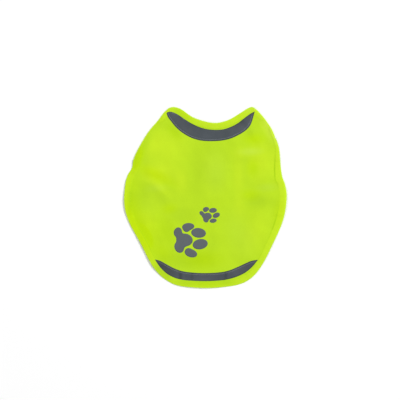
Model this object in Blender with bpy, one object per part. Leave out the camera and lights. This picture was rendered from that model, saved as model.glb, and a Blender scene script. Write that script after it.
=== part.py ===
"""Dog safety vest for a small dog, laid flat on its underside.

The back panel is one cut of cloth with its two chest flaps. Both flaps are folded under at the
shoulders, the belly straps are folded under along the flanks, and everything rests on z = 0.
Plan sizes are in millimetres, with y running from the tail to the neck.
"""

import math
from typing import NamedTuple

import bmesh
import bpy
import numpy as np
from mathutils import Vector
from mathutils.geometry import delaunay_2d_cdt, interpolate_bezier

MM = 0.001

# Driving dimensions in millimetres
CLOTH = 1.0
GAP = 0.3
HEM_WIDTH = 12.0
HEM_RISE = 0.5
HEM_STEP = 1.8
TAPE_THICKNESS = 1.0
PATCH_THICKNESS = 1.0
PATCH_CORNER = 3.0
STRAP_WIDTH = 25.0
STRAP_LENGTH = 102.0
STRAP_SEAM_GAP = 0.5
STRAP_SEAM_REACH = 34.0
FLAP_CORNER = 5.0

# Mesh spacing in millimetres
EDGE_SPACING = 7.0
GRID_SPACING = 9.0
GRID_CLEARANCE = 4.6
GUIDE_CLEARANCE = 2.4
GUIDE_SLACK = 0.3
FOLD_STEPS = 6
SHARP_ANGLE = math.radians(40.0)

# How the cloth bridges over what lies under it, in millimetres
BRIDGE_MARGIN = 5.0
BRIDGE_REACH = 26.0
PATCH_REACH = 6.0
BLEND_POWER = 5.0
CLEARANCE = 0.5


class EdgePoint(NamedTuple):
    """A named point of the outline, clockwise from the middle of the neck."""

    place: str
    x: float
    y: float


class Fold(NamedTuple):
    """A shoulder fold between two places of the outline, with the flap it turns under."""

    start: str
    end: str
    roll: float
    reach: float
    corners: tuple


class Station(NamedTuple):
    """Upper and lower edge of a reflective crescent at one distance across the vest."""

    x: float
    upper: float
    lower: float


class Swell(NamedTuple):
    """A soft rise of the cloth: its centre, half sizes, turn in degrees and height."""

    place: str
    x: float
    y: float
    half_length: float
    half_width: float
    turn: float
    height: float


class Strip(NamedTuple):
    """A straight strip: the middle of its first end, its heading in degrees, and its sizes."""

    x: float
    y: float
    heading: float
    length: float
    width: float


OUTLINE = (
    EdgePoint("neck middle", 14.5, 134.6),
    EdgePoint("neck right quarter", 39.5, 139.2),
    EdgePoint("neck right slope", 63.5, 152.6),
    EdgePoint("neck right rise", 75.5, 160.3),
    EdgePoint("neck tip right", 84.0, 163.4),
    EdgePoint("right shoulder", 91.0, 160.2),
    EdgePoint("right fold upper", 104.5, 146.0),
    EdgePoint("right fold lower", 119.5, 124.5),
    EdgePoint("right fold end", 126.3, 109.0),
    EdgePoint("right chest", 132.8, 90.0),
    EdgePoint("right waist", 136.4, 54.0),
    EdgePoint("right dip", 139.2, 36.5),
    EdgePoint("right bulge top", 144.2, 22.5),
    EdgePoint("right bulge", 146.9, 1.0),
    EdgePoint("right flank", 141.2, -38.0),
    EdgePoint("right hip", 124.2, -79.3),
    EdgePoint("right tail corner", 96.0, -131.5),
    EdgePoint("right tail round", 69.5, -153.8),
    EdgePoint("tail right", 28.0, -162.2),
    EdgePoint("tail left", -21.0, -162.6),
    EdgePoint("left tail round", -60.0, -155.3),
    EdgePoint("left tail corner", -90.5, -130.5),
    EdgePoint("left hip", -117.7, -81.7),
    EdgePoint("left flank", -138.3, -43.0),
    EdgePoint("left bulge low", -146.2, -13.0),
    EdgePoint("left bulge top", -144.6, 24.0),
    EdgePoint("left dip", -140.2, 40.5),
    EdgePoint("left waist", -132.8, 53.0),
    EdgePoint("left fold end", -129.1, 71.5),
    EdgePoint("left fold lower", -113.5, 102.0),
    EdgePoint("left fold middle", -100.8, 121.6),
    EdgePoint("left fold upper", -85.0, 140.0),
    EdgePoint("left shoulder", -71.5, 157.2),
    EdgePoint("neck tip left", -60.0, 163.3),
    EdgePoint("neck left rise", -45.5, 160.2),
    EdgePoint("neck left slope", -21.0, 144.3),
)

FOLDS = (
    Fold("right shoulder", "right fold end", 1.3, 15.0, ((99, 86), (57, 86), (64, 128))),
    Fold("left fold end", "left shoulder", 1.7, 24.0, ((-49, 122), (-57, 47), (-100, 57))),
)

HEM_STRETCHES = (
    ("left shoulder", "right shoulder"),
    ("right fold end", "left fold end"),
)
HEM_RUN_ON = 16.0
ROLL_NOTCH = 2.2
ROLL_END = 0.85

NECK_TAPE = (
    Station(-70.2, 152.2, 152.2),
    Station(-67.6, 154.3, 145.6),
    Station(-62.0, 154.8, 137.9),
    Station(-52.5, 151.4, 126.5),
    Station(-40.4, 143.6, 116.4),
    Station(-25.9, 134.4, 108.4),
    Station(-11.5, 127.6, 103.8),
    Station(3.0, 123.5, 102.1),
    Station(17.4, 122.2, 102.1),
    Station(31.9, 123.1, 103.4),
    Station(46.4, 127.8, 106.9),
    Station(59.0, 134.5, 112.6),
    Station(71.1, 143.3, 119.9),
    Station(81.6, 150.8, 131.4),
    Station(89.2, 155.4, 155.4),
)

TAIL_TAPE = (
    Station(-90.6, -111.9, -111.9),
    Station(-81.4, -115.0, -125.8),
    Station(-69.3, -121.4, -137.8),
    Station(-54.8, -128.9, -145.4),
    Station(-40.4, -133.6, -148.9),
    Station(-20.9, -136.1, -150.6),
    Station(3.0, -136.8, -151.1),
    Station(27.4, -135.3, -149.9),
    Station(42.0, -132.3, -147.6),
    Station(56.5, -126.6, -143.3),
    Station(71.1, -119.9, -136.4),
    Station(83.2, -115.0, -126.4),
    Station(94.4, -112.6, -112.6),
)

SWELLS = (
    Swell("upper middle", 10.0, 62.0, 52.0, 24.0, 88.0, 1.5),
    Swell("left long ridge", -94.0, 24.0, 46.0, 16.0, -14.0, 0.9),
    Swell("left diagonal ridge", -78.0, 8.0, 30.0, 15.0, -45.0, 0.8),
    Swell("right chest", 108.0, 44.0, 42.0, 18.0, 82.0, 1.3),
    Swell("right flank", 100.0, -46.0, 40.0, 17.0, 62.0, 1.2),
    Swell("left flank", -108.0, -46.0, 44.0, 16.0, -66.0, 1.1),
    Swell("lower middle", 20.0, -78.0, 50.0, 22.0, 80.0, 1.0),
    Swell("lower left", -48.0, -88.0, 34.0, 16.0, 35.0, 0.9),
    Swell("neck lift", 14.0, 136.0, 48.0, 24.0, 0.0, 2.4),
    Swell("right bulge lift", 152.0, 0.0, 58.0, 38.0, 90.0, 2.4),
    Swell("left bulge lift", -152.0, 4.0, 62.0, 40.0, 86.0, 2.8),
    Swell("right waist lift", 142.0, 76.0, 30.0, 22.0, 80.0, 1.6),
    Swell("tail lift", -16.0, -168.0, 74.0, 26.0, 2.0, 1.8),
    Swell("right tail lift", 92.0, -144.0, 44.0, 22.0, 48.0, 1.4),
    Swell("left tail lift", -98.0, -130.0, 46.0, 24.0, -56.0, 1.7),
    Swell("middle dome", 5.0, 5.0, 130.0, 95.0, 90.0, 1.3),
)

RIGHT_STRAP = Strip(130.0, -14.0, -118.2, STRAP_LENGTH, STRAP_WIDTH)
LEFT_STRAP = Strip(-130.0, -14.0, -61.8, STRAP_LENGTH, STRAP_WIDTH)
CHEST_HOOK = Strip(78.0, 89.0, 90.0, 26.0, 28.0)
CHEST_LOOP = Strip(-78.5, 55.0, 97.0, 26.0, 28.0)
STRAP_PATCH_LENGTH = 38.0
STRAP_PATCH_WIDTH = 19.0
STRAP_PATCH_INSET = 4.0


class Finish(NamedTuple):
    """Colour, roughness and metallic value of one material."""

    name: str
    colour: tuple
    roughness: float
    metallic: float


FLUORESCENT_CLOTH = Finish("fluorescent_cloth", (0.56, 0.82, 0.03), 0.8, 0.0)
REFLECTIVE_TAPE = Finish("reflective_tape", (0.10, 0.105, 0.115), 0.45, 0.2)
HOOK_AND_LOOP = Finish("hook_and_loop", (0.50, 0.74, 0.05), 0.9, 0.0)


def ease(value):
    """A smooth step from 0 to 1 as value goes from 0 to 1."""
    clamped = np.clip(value, 0.0, 1.0)
    return clamped * clamped * (3.0 - 2.0 * clamped)


def blend(layers):
    """A smooth maximum of several heights, never below the highest of them."""
    total = sum(np.power(np.maximum(layer, 0.0), BLEND_POWER) for layer in layers)
    return np.power(total, 1.0 / BLEND_POWER)


def heading(start, end):
    """The direction from one point to another, one unit long."""
    run = end - start
    return run / np.linalg.norm(run)


def spline_span(before, start, end, after, spacing):
    """Points from start up to end, but not end, on a smooth curve past its neighbours."""
    length = float(np.linalg.norm(end - start))
    leaving = start + heading(before, end) * length / 3.0
    arriving = end - heading(start, after) * length / 3.0
    count = max(1, round(length / spacing))
    knots = [Vector((*point, 0.0)) for point in (start, leaving, arriving, end)]
    curve = interpolate_bezier(*knots, count + 1)
    return [np.array(point[:2]) for point in curve[:-1]]


def outline_stretch(start, end):
    """Points of the outline from one named place clockwise to another, both included."""
    places = [row.place for row in OUTLINE]
    spots = [np.array((row.x, row.y)) for row in OUTLINE]
    count = len(spots)
    index = places.index(start)
    last = places.index(end)
    points = []
    while index != last:
        around = [spots[(index + shift) % count] for shift in (-1, 0, 1, 2)]
        points.extend(spline_span(*around, EDGE_SPACING))
        index = (index + 1) % count
    points.append(spots[last])
    return np.array(points)


def open_curve(points, spacing):
    """A smooth curve through the given points, with both ends."""
    first = 2.0 * points[0] - points[1]
    last = 2.0 * points[-1] - points[-2]
    full = [first, *points, last]
    curve = []
    for index in range(1, len(full) - 2):
        curve.extend(spline_span(*full[index - 1:index + 3], spacing))
    curve.append(points[-1])
    return curve


def crescent(stations):
    """The closed outline of a reflective crescent from its stations."""
    upper = open_curve([np.array((row.x, row.upper)) for row in stations], EDGE_SPACING)
    lower = open_curve([np.array((row.x, row.lower)) for row in stations], EDGE_SPACING)
    return np.array(upper + lower[-2:0:-1])


def nearest(points, path, closed):
    """Distance from each point to a path, and how far along the path the nearest spot is."""
    line = np.vstack((path, path[:1])) if closed else path
    starts = line[:-1]
    runs = line[1:] - starts
    lengths = np.linalg.norm(runs, axis=1)
    offsets = points[:, None, :] - starts[None, :, :]
    parts = np.clip((offsets * runs).sum(axis=2) / (lengths ** 2), 0.0, 1.0)
    gaps = np.linalg.norm(offsets - parts[:, :, None] * runs, axis=2)
    best = gaps.argmin(axis=1)
    rows = np.arange(len(points))
    along = np.concatenate(((0.0,), np.cumsum(lengths)))
    reached = along[best] + parts[rows, best] * lengths[best]
    return gaps[rows, best], reached / along[-1]


def inside(points, loop):
    """Which points lie inside a closed loop."""
    result = np.zeros(len(points), dtype=bool)
    for start, end in zip(loop, np.roll(loop, -1, axis=0)):
        spans = (start[1] > points[:, 1]) != (end[1] > points[:, 1])
        rise = end[1] - start[1]
        slope = (end[0] - start[0]) / rise if rise else 0.0
        crossing = start[0] + (points[:, 1] - start[1]) * slope
        result ^= spans & (points[:, 0] < crossing)
    return result


def depth_in(points, loop):
    """Signed distance to a loop, positive inside it."""
    gaps, _ = nearest(points, loop, True)
    return np.where(inside(points, loop), gaps, -gaps)


def plateau(points, loop, height, margin, reach):
    """A level top over a loop and its margin, eased down to nothing over the reach."""
    return height * ease(1.0 + (depth_in(points, loop) + margin) / reach)


def rounded(corners, radius, is_open):
    """Points along straight runs between corners, each corner turned on a radius."""
    points = []
    count = len(corners)
    for index, corner in enumerate(corners):
        at_end = is_open and index in (0, count - 1)
        if at_end:
            points.append(corner)
            continue
        back = heading(corner, corners[index - 1])
        ahead = heading(corner, corners[(index + 1) % count])
        for part in (0.0, 0.5, 1.0):
            away = back * (1.0 - part) ** 2 + ahead * part ** 2
            points.append(corner + away * radius)
    return points


def filled_in(points, spacing, closed):
    """The same path with even points added along its longer runs."""
    path = list(points) + ([points[0]] if closed else [])
    result = []
    for start, end in zip(path[:-1], path[1:]):
        count = max(1, round(float(np.linalg.norm(end - start)) / spacing))
        result.extend(start + (end - start) * step / count for step in range(count))
    if not closed:
        result.append(path[-1])
    return np.array(result)


def strip_loop(strip, radius):
    """The closed outline of a straight strip with rounded corners."""
    angle = math.radians(strip.heading)
    along = np.array((math.cos(angle), math.sin(angle)))
    across = np.array((-along[1], along[0])) * strip.width / 2.0
    start = np.array((strip.x, strip.y))
    end = start + along * strip.length
    corners = [start - across, end - across, end + across, start + across]
    return filled_in(rounded(corners, radius, False), EDGE_SPACING, True)


def end_patch(strap):
    """The strip that a closure patch covers at the free end of a belly strap."""
    angle = math.radians(strap.heading)
    shift = strap.length - STRAP_PATCH_INSET - STRAP_PATCH_LENGTH
    return Strip(
        strap.x + math.cos(angle) * shift,
        strap.y + math.sin(angle) * shift,
        strap.heading,
        STRAP_PATCH_LENGTH,
        STRAP_PATCH_WIDTH,
    )


def moved_in(path, distance):
    """An open path of the clockwise outline, moved in towards the cloth."""
    ahead = np.gradient(path, axis=0)
    ahead = ahead / np.linalg.norm(ahead, axis=1)[:, None]
    inward = np.column_stack((ahead[:, 1], -ahead[:, 0]))
    return path + inward * distance


def fold_line(fold):
    """The straight-down line where a fold's roll begins, inside the folded edge."""
    return moved_in(outline_stretch(fold.start, fold.end), fold.roll + CLOTH / 2.0)


def flap_loop(fold):
    """The closed outline of the flap that a fold turns under."""
    line = fold_line(fold)
    corners = [line[-1], *(np.array(corner, dtype=float) for corner in fold.corners), line[0]]
    free_edge = filled_in(rounded(corners, FLAP_CORNER, True), EDGE_SPACING, False)
    return np.vstack((line, free_edge[1:-1]))


def drawn_back(path):
    """A hemmed stretch of the outline that stops a little short of the folds at its ends."""
    path[0] += heading(path[0], path[1]) * ROLL_NOTCH
    path[-1] += heading(path[-1], path[-2]) * ROLL_NOTCH
    return path


def panel_loop():
    """The closed outline of the upper layer of the back panel."""
    neck, body = (drawn_back(outline_stretch(*places)) for places in HEM_STRETCHES)
    return np.vstack((neck, fold_line(FOLDS[0]), body, fold_line(FOLDS[1])))


def hem_edges():
    """The hemmed stretches of the outline, run on straight past the folds."""
    edges = []
    for start, end in HEM_STRETCHES:
        path = outline_stretch(start, end)
        first = path[0] + heading(path[1], path[0]) * HEM_RUN_ON
        last = path[-1] + heading(path[-2], path[-1]) * HEM_RUN_ON
        edges.append(np.vstack((first, path, last)))
    return edges


def hem_rise(points):
    """How far the turned hem stands above the single cloth."""
    gap = np.min([nearest(points, edge, False)[0] for edge in hem_edges()], axis=0)
    return HEM_RISE * ease((HEM_WIDTH - gap) / HEM_STEP + 0.5)


def swell_height(points, swell):
    """Height of one soft rise at each point."""
    angle = math.radians(swell.turn)
    offsets = points - np.array((swell.x, swell.y))
    along = offsets @ np.array((math.cos(angle), math.sin(angle))) / swell.half_length
    across = offsets @ np.array((-math.sin(angle), math.cos(angle))) / swell.half_width
    return swell.height * ease(1.0 - np.hypot(along, across))


def fold_height(points, fold):
    """Height that the roll of a folded edge holds the cloth at, easing down inwards."""
    gaps, along = nearest(points, fold_line(fold), False)
    crown = 2.0 * fold.roll * (ROLL_END + (1.0 - ROLL_END) * np.sin(math.pi * along))
    return crown * ease(1.0 - gaps / fold.reach)


def panel_under(points):
    """Height of the underside of the upper layer above the ground."""
    single = CLOTH + CLEARANCE
    double = CLOTH + PATCH_THICKNESS + GAP + CLEARANCE
    layers = [fold_height(points, fold) for fold in FOLDS]
    layers += [plateau(points, flap_loop(fold), single, BRIDGE_MARGIN, BRIDGE_REACH) for fold in FOLDS]
    for strap in (RIGHT_STRAP, LEFT_STRAP):
        layers.append(plateau(points, strip_loop(strap, PATCH_CORNER), single, BRIDGE_MARGIN, BRIDGE_REACH))
    for patch in (CHEST_HOOK, CHEST_LOOP, end_patch(RIGHT_STRAP), end_patch(LEFT_STRAP)):
        layers.append(plateau(points, strip_loop(patch, PATCH_CORNER), double, BRIDGE_MARGIN, BRIDGE_REACH))
    return blend(layers) + sum(swell_height(points, swell) for swell in SWELLS)


def over_patch(points, patch):
    """Height that a layer is lifted by a closure patch sewn beneath it."""
    return plateau(points, strip_loop(patch, PATCH_CORNER), PATCH_THICKNESS + GAP, 1.0, PATCH_REACH)


def strap_under(points, strap, patch_beneath):
    """Height of a belly strap's underside, raised to the panel where it is sewn on."""
    angle = math.radians(strap.heading)
    along = (points - np.array((strap.x, strap.y))) @ np.array((math.cos(angle), math.sin(angle)))
    seam = (panel_under(points) - STRAP_SEAM_GAP - CLOTH) * ease(1.0 - along / STRAP_SEAM_REACH)
    if not patch_beneath:
        return np.maximum(seam, 0.0)
    return np.maximum(seam, over_patch(points, end_patch(strap)))


class Layer:
    """One layer of cloth in plan: points and triangles, seen from above."""

    def __init__(self, loop, guides, spacing):
        """Fill a closed loop with triangles that keep the edges of the guide paths."""
        points = [np.array(loop)]
        edges = [(k, (k + 1) % len(loop)) for k in range(len(loop))]
        start = len(loop)
        for path, closed in guides:
            points.append(path)
            ends = len(path) if closed else len(path) - 1
            edges += [(start + k, start + (k + 1) % len(path)) for k in range(ends)]
            start += len(path)
        points.append(self.grid(loop, np.vstack(points), spacing))
        flat = [Vector(point) for point in np.vstack(points)]
        verts, _, faces, origins, _, _ = delaunay_2d_cdt(flat, edges, [], 1, 1e-4)
        self.points = np.array(verts)
        self.faces = [tuple(face) for face in faces]
        self.index = {source: k for k, sources in enumerate(origins) for source in sources}

    @staticmethod
    def grid(loop, fixed, spacing):
        """Evenly staggered points inside the loop, clear of the fixed ones."""
        low = loop.min(axis=0)
        high = loop.max(axis=0)
        rows = []
        row_step = spacing * math.sqrt(0.75)
        for row in range(int((high[1] - low[1]) / row_step) + 1):
            first = low[0] + (row % 2) * spacing / 2.0
            xs = np.arange(first, high[0], spacing)
            rows.append(np.column_stack((xs, np.full(len(xs), low[1] + row * row_step))))
        spots = np.vstack(rows)
        spots = spots[depth_in(spots, loop) > GRID_CLEARANCE]
        gaps = np.linalg.norm(spots[:, None, :] - fixed[None, :, :], axis=2).min(axis=1)
        return spots[gaps > GRID_CLEARANCE]


class Wall:
    """A cloth wall: outer and inner points in pairs, and the faces of its outer side."""

    def __init__(self):
        """Start with no points and no faces."""
        self.outer = []
        self.inner = []
        self.faces = []

    def add(self, outer, inner):
        """Add pairs of points and return their numbers."""
        start = len(self.outer)
        self.outer.extend(np.asarray(outer))
        self.inner.extend(np.asarray(inner))
        return list(range(start, len(self.outer)))

    def rim(self):
        """Edges that only one outer face has, in that face's order."""
        seen = {}
        for face in self.faces:
            for start, end in zip(face, face[1:] + face[:1]):
                seen[(start, end)] = True
        return [(start, end) for start, end in seen if (end, start) not in seen]

    def build(self, name, finish):
        """Make the closed solid as a named object."""
        count = len(self.outer)
        points = np.vstack((self.outer, self.inner)) * MM
        faces = list(self.faces)
        faces += [tuple(vertex + count for vertex in reversed(face)) for face in self.faces]
        faces += [(end, start, start + count, end + count) for start, end in self.rim()]
        mesh = bpy.data.meshes.new(name)
        mesh.from_pydata(points.tolist(), [], faces)
        form = bmesh.new()
        form.from_mesh(mesh)
        loose = [vertex for vertex in form.verts if not vertex.link_faces]
        bmesh.ops.delete(form, geom=loose, context="VERTS")
        bmesh.ops.triangulate(form, faces=form.faces[:])
        form.to_mesh(mesh)
        form.free()
        mesh.shade_smooth()
        mesh.set_sharp_from_angle(angle=SHARP_ANGLE)
        mesh.materials.append(material(finish))
        thing = bpy.data.objects.new(name, mesh)
        bpy.context.scene.collection.objects.link(thing)
        return thing


def material(finish):
    """The material of a finish, made once."""
    known = bpy.data.materials.get(finish.name)
    if known:
        return known
    made = bpy.data.materials.new(finish.name)
    made.use_nodes = True
    shader = made.node_tree.nodes["Principled BSDF"]
    shader.inputs["Base Color"].default_value = (*finish.colour, 1.0)
    shader.inputs["Roughness"].default_value = finish.roughness
    shader.inputs["Metallic"].default_value = finish.metallic
    return made


def raised(points, heights):
    """Plan points with their heights as a third column."""
    return np.column_stack((points, heights))


def overlay(wall, loop, upwards, thickness):
    """A wall that lies over part of another one's upper or lower side, made from its points."""
    taken = {}
    cover = Wall()
    for face in wall.faces:
        plan = np.mean([wall.outer[vertex][:2] for vertex in face], axis=0)
        if not inside(plan[None, :], loop)[0]:
            continue
        corners = []
        for vertex in face:
            if vertex not in taken:
                pair = np.array((wall.outer[vertex], wall.inner[vertex]))
                base = pair[pair[:, 2].argmax()] if upwards else pair[pair[:, 2].argmin()]
                step = np.array((0.0, 0.0, 1.0 if upwards else -1.0))
                near = base + step * GAP
                far = near + step * thickness
                top, bottom = (far, near) if upwards else (near, far)
                taken[vertex] = cover.add([top], [bottom])[0]
            corners.append(taken[vertex])
        cover.faces.append(upward_face(corners, cover.outer))
    return cover


def upward_face(corners, points):
    """The corners of a face in the order that makes it look up."""
    first, second, third = (points[corner][:2] for corner in corners[:3])
    one = second - first
    two = third - first
    turn = one[0] * two[1] - one[1] * two[0]
    return tuple(corners) if turn > 0 else tuple(reversed(corners))


def hem_guides(loop, tapes):
    """The two lines where the hem steps down to the single cloth, clear of the tapes."""
    guides = []
    for start, end in HEM_STRETCHES:
        path = outline_stretch(start, end)
        for distance in (HEM_WIDTH - HEM_STEP / 2.0, HEM_WIDTH + HEM_STEP / 2.0):
            line = moved_in(path, distance)
            gap = np.min([nearest(line, edge, False)[0] for edge in hem_edges()], axis=0)
            keep = (gap > distance - GUIDE_SLACK) & (depth_in(line, loop) > GUIDE_CLEARANCE)
            for tape in tapes:
                keep &= depth_in(line, tape) < -GUIDE_CLEARANCE
            guides += [(run, False) for run in kept_runs(line, keep)]
    return guides


def kept_runs(line, keep):
    """The unbroken runs of a line whose points are kept."""
    runs = []
    current = []
    for point, kept in zip(line, keep):
        if kept:
            current.append(point)
        elif current:
            runs.append(np.array(current))
            current = []
    if current:
        runs.append(np.array(current))
    return runs


def add_flap(wall, fold, roll_start, patch):
    """Turn one chest flap under: the roll of the fold, then the flap beneath the panel."""
    loop = flap_loop(fold)
    line = fold_line(fold)
    layer = Layer(loop, [(strip_loop(patch, PATCH_CORNER), True)], GRID_SPACING)
    lift = over_patch(layer.points, patch) if patch is CHEST_LOOP else np.zeros(len(layer.points))
    vertices = wall.add(raised(layer.points, lift), raised(layer.points, lift + CLOTH))
    wall.faces += [tuple(vertices[k] for k in reversed(face)) for face in layer.faces]
    flap_start = [vertices[layer.index[k]] for k in range(len(line))]
    outward = line - moved_in(line, 1.0)
    previous = roll_start
    for step in range(1, FOLD_STEPS):
        turn = math.pi * (0.5 - step / FOLD_STEPS)
        ring = []
        for k, point in enumerate(line):
            top = wall.inner[roll_start[k]][2] + CLOTH / 2.0
            bottom = wall.outer[flap_start[k]][2] + CLOTH / 2.0
            half = (top - bottom) / 2.0
            spot = np.array((*(point + outward[k] * fold.roll * math.cos(turn)), bottom + half))
            spot[2] += half * math.sin(turn)
            away = np.array((*(outward[k] * math.cos(turn) / fold.roll), math.sin(turn) / half))
            away *= CLOTH / 2.0 / np.linalg.norm(away)
            ring.append(wall.add([spot + away], [spot - away])[0])
        join_rings(wall, previous, ring)
        previous = ring
    join_rings(wall, previous, flap_start)


def join_rings(wall, upper, lower):
    """Join two lines of the roll with faces that look outwards."""
    for k in range(len(upper) - 1):
        wall.faces.append((upper[k], upper[k + 1], lower[k + 1]))
        wall.faces.append((upper[k], lower[k + 1], lower[k]))


def build_panel(tapes):
    """The back panel with its hem and both flaps."""
    loop = panel_loop()
    guides = [(tape, True) for tape in tapes] + hem_guides(loop, tapes)
    layer = Layer(loop, guides, GRID_SPACING)
    under = panel_under(layer.points)
    top = under + CLOTH + hem_rise(layer.points)
    wall = Wall()
    vertices = wall.add(raised(layer.points, top), raised(layer.points, under))
    wall.faces += [tuple(vertices[k] for k in face) for face in layer.faces]
    for fold, patch in zip(FOLDS, (CHEST_HOOK, CHEST_LOOP)):
        start = nearest_vertex(loop, fold_line(fold)[0])
        roll = [vertices[layer.index[start + k]] for k in range(len(fold_line(fold)))]
        add_flap(wall, fold, roll, patch)
    return wall


def nearest_vertex(points, spot):
    """Number of the point closest to a spot."""
    return int(np.linalg.norm(points - spot, axis=1).argmin())


def build_strap(strap, patch_beneath):
    """A belly strap, folded under along the flank."""
    guide = strip_loop(end_patch(strap), PATCH_CORNER)
    layer = Layer(strip_loop(strap, PATCH_CORNER), [(guide, True)], GRID_SPACING)
    under = strap_under(layer.points, strap, patch_beneath)
    wall = Wall()
    wall.add(raised(layer.points, under + CLOTH), raised(layer.points, under))
    wall.faces = list(layer.faces)
    return wall


def one_layer(wall, turned_under):
    """The part of the panel's wall that is its upper layer, or that lies turned under."""
    layer = Wall()
    layer.outer = wall.outer
    layer.inner = wall.inner
    layer.faces = [face for face in wall.faces if faces_down(wall, face) == turned_under]
    return layer


def faces_down(wall, face):
    """Whether the outer side of a face looks at the ground."""
    first, second, third = (np.array(wall.outer[corner]) for corner in face)
    return np.cross(second - first, third - first)[2] < 0.0


def clear_scene():
    """Remove every object of the scene."""
    for thing in list(bpy.data.objects):
        bpy.data.objects.remove(thing, do_unlink=True)


def main():
    """Build every piece of the vest."""
    clear_scene()
    neck = crescent(NECK_TAPE)
    tail = crescent(TAIL_TAPE)
    panel = build_panel([neck, tail])
    panel.build("back_panel", FLUORESCENT_CLOTH)
    upper = one_layer(panel, False)
    overlay(upper, neck, True, TAPE_THICKNESS).build("neck_tape", REFLECTIVE_TAPE)
    overlay(upper, tail, True, TAPE_THICKNESS).build("tail_tape", REFLECTIVE_TAPE)
    flaps = one_layer(panel, True)
    hook = strip_loop(CHEST_HOOK, PATCH_CORNER)
    loop = strip_loop(CHEST_LOOP, PATCH_CORNER)
    overlay(flaps, hook, True, PATCH_THICKNESS).build("chest_hook_patch", HOOK_AND_LOOP)
    overlay(flaps, loop, False, PATCH_THICKNESS).build("chest_loop_patch", HOOK_AND_LOOP)
    right = build_strap(RIGHT_STRAP, True)
    right.build("belly_strap_right", FLUORESCENT_CLOTH)
    left = build_strap(LEFT_STRAP, False)
    left.build("belly_strap_left", FLUORESCENT_CLOTH)
    right_patch = strip_loop(end_patch(RIGHT_STRAP), PATCH_CORNER)
    left_patch = strip_loop(end_patch(LEFT_STRAP), PATCH_CORNER)
    overlay(right, right_patch, False, PATCH_THICKNESS).build("belly_loop_patch", HOOK_AND_LOOP)
    overlay(left, left_patch, True, PATCH_THICKNESS).build("belly_hook_patch", HOOK_AND_LOOP)


main()
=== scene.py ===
"""Looks of a dog safety vest for a small dog, laid flat on its underside.

Each piece is a thin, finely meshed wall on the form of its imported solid. Plan sizes are in
millimetres, with y running from the tail to the neck and z up from the table.
"""

import logging
import math
from dataclasses import dataclass, field
from enum import Enum

import bmesh
import bpy
import numpy as np
from bpy.types import ID, Material, Node, NodeOutputs, NodeSocket, NodeTree, Object
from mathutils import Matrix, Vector, kdtree
from mathutils.geometry import delaunay_2d_cdt, interpolate_bezier


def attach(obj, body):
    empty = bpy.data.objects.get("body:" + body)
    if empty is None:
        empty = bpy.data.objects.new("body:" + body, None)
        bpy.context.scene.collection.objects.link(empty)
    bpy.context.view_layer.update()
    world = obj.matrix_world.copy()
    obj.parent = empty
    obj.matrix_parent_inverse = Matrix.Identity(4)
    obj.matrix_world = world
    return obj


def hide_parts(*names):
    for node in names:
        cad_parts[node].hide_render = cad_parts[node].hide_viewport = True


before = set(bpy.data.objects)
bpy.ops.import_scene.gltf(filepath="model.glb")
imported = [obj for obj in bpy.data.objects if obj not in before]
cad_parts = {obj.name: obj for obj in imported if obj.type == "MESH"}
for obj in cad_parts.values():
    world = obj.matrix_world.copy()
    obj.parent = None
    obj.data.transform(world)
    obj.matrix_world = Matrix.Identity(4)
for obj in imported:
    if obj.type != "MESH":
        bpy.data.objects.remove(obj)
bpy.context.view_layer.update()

LOG = logging.getLogger("vest")
MM = 0.001

# Cloth and trim, in millimetres
CLOTH = 0.5
LAY_GAP = 0.03
HEM_LAYER = 0.75
HEM_LIFT = 0.3
HEM_FADE = 7.0
HEM_STEP = 1.3
HEM_WIDTH = 12.0
STITCH_INSET = 1.1
GROOVE_DEPTH = 0.26
GROOVE_WIDTH = 0.9
EDGE_DROP = 0.3
EDGE_ROUND = 1.0
TAPE_THICKNESS = 0.35
PRINT_THICKNESS = 0.16
PATCH_THICKNESS = 0.5
STRAP_THICKNESS = 1.0
STRAP_WIDTH = 25.0
STRAP_LENGTH = 102.0
PATCH_CORNER = 3.0
FLAP_CORNER = 5.0

# How far the edge of a piece is rounded out, in millimetres
CLOTH_BULGE = 0.3
TAPE_BULGE = 0.08
PRINT_BULGE = 0.04
PATCH_BULGE = 0.15

# Spacing of the meshes, in millimetres
EDGE_SPACING = 2.2
GRID_SPACING = 2.2
PRINT_SPACING = 0.9
MERGE_GAP = 1e-4

# Shares and counts of the meshes
GRID_SHARE = 0.55
GRID_ROW = math.sqrt(0.75)
ROUND_PARTS = (0.0, 0.25, 0.5, 0.75, 1.0)
FOLD_STEPS = 14
FEWEST_PRINT_POINTS = 12
NEAREST_BATCH = 4000
SHARP_ANGLE = math.radians(50.0)

# The one fixed point of a grid that has to keep clear of nothing
FAR_AWAY = ((1e4, 1e4),)

# How the cloth bridges over what lies under it, in millimetres
FLAP_HEIGHT = 1.5
PATCH_HEIGHT = 2.8
PATCH_LIFT = 1.3
PATCH_MARGIN = 1.0
PATCH_REACH = 6.0
BRIDGE_MARGIN = 5.0
BRIDGE_REACH = 26.0
BLEND_POWER = 5.0
FLOOR_SOFTNESS = 0.2


class Facing(Enum):
    """Which side of a layer of cloth something lies on."""

    UP = 1.0
    DOWN = -1.0


class Closure(Enum):
    """The halves of a closure: a bristle's reach and radius in millimetres, and its greatest turn."""

    HOOK = (0.8, 0.11, 0.25)
    LOOP = (1.3, 0.08, math.pi)


@dataclass(frozen=True)
class EdgePoint:
    """A named point of the outline, with the width of the turned hem there."""

    place: str
    x: float
    y: float
    hem: float = HEM_WIDTH


@dataclass(frozen=True)
class Fold:
    """A shoulder fold between two places of the outline, with the flap it turns under."""

    start: str
    end: str
    inset: float
    crown: float
    reach: float
    corners: tuple[tuple[float, float], ...]


@dataclass(frozen=True)
class Station:
    """Upper and lower edge of a reflective crescent at one distance across the vest."""

    x: float
    upper: float
    lower: float


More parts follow.
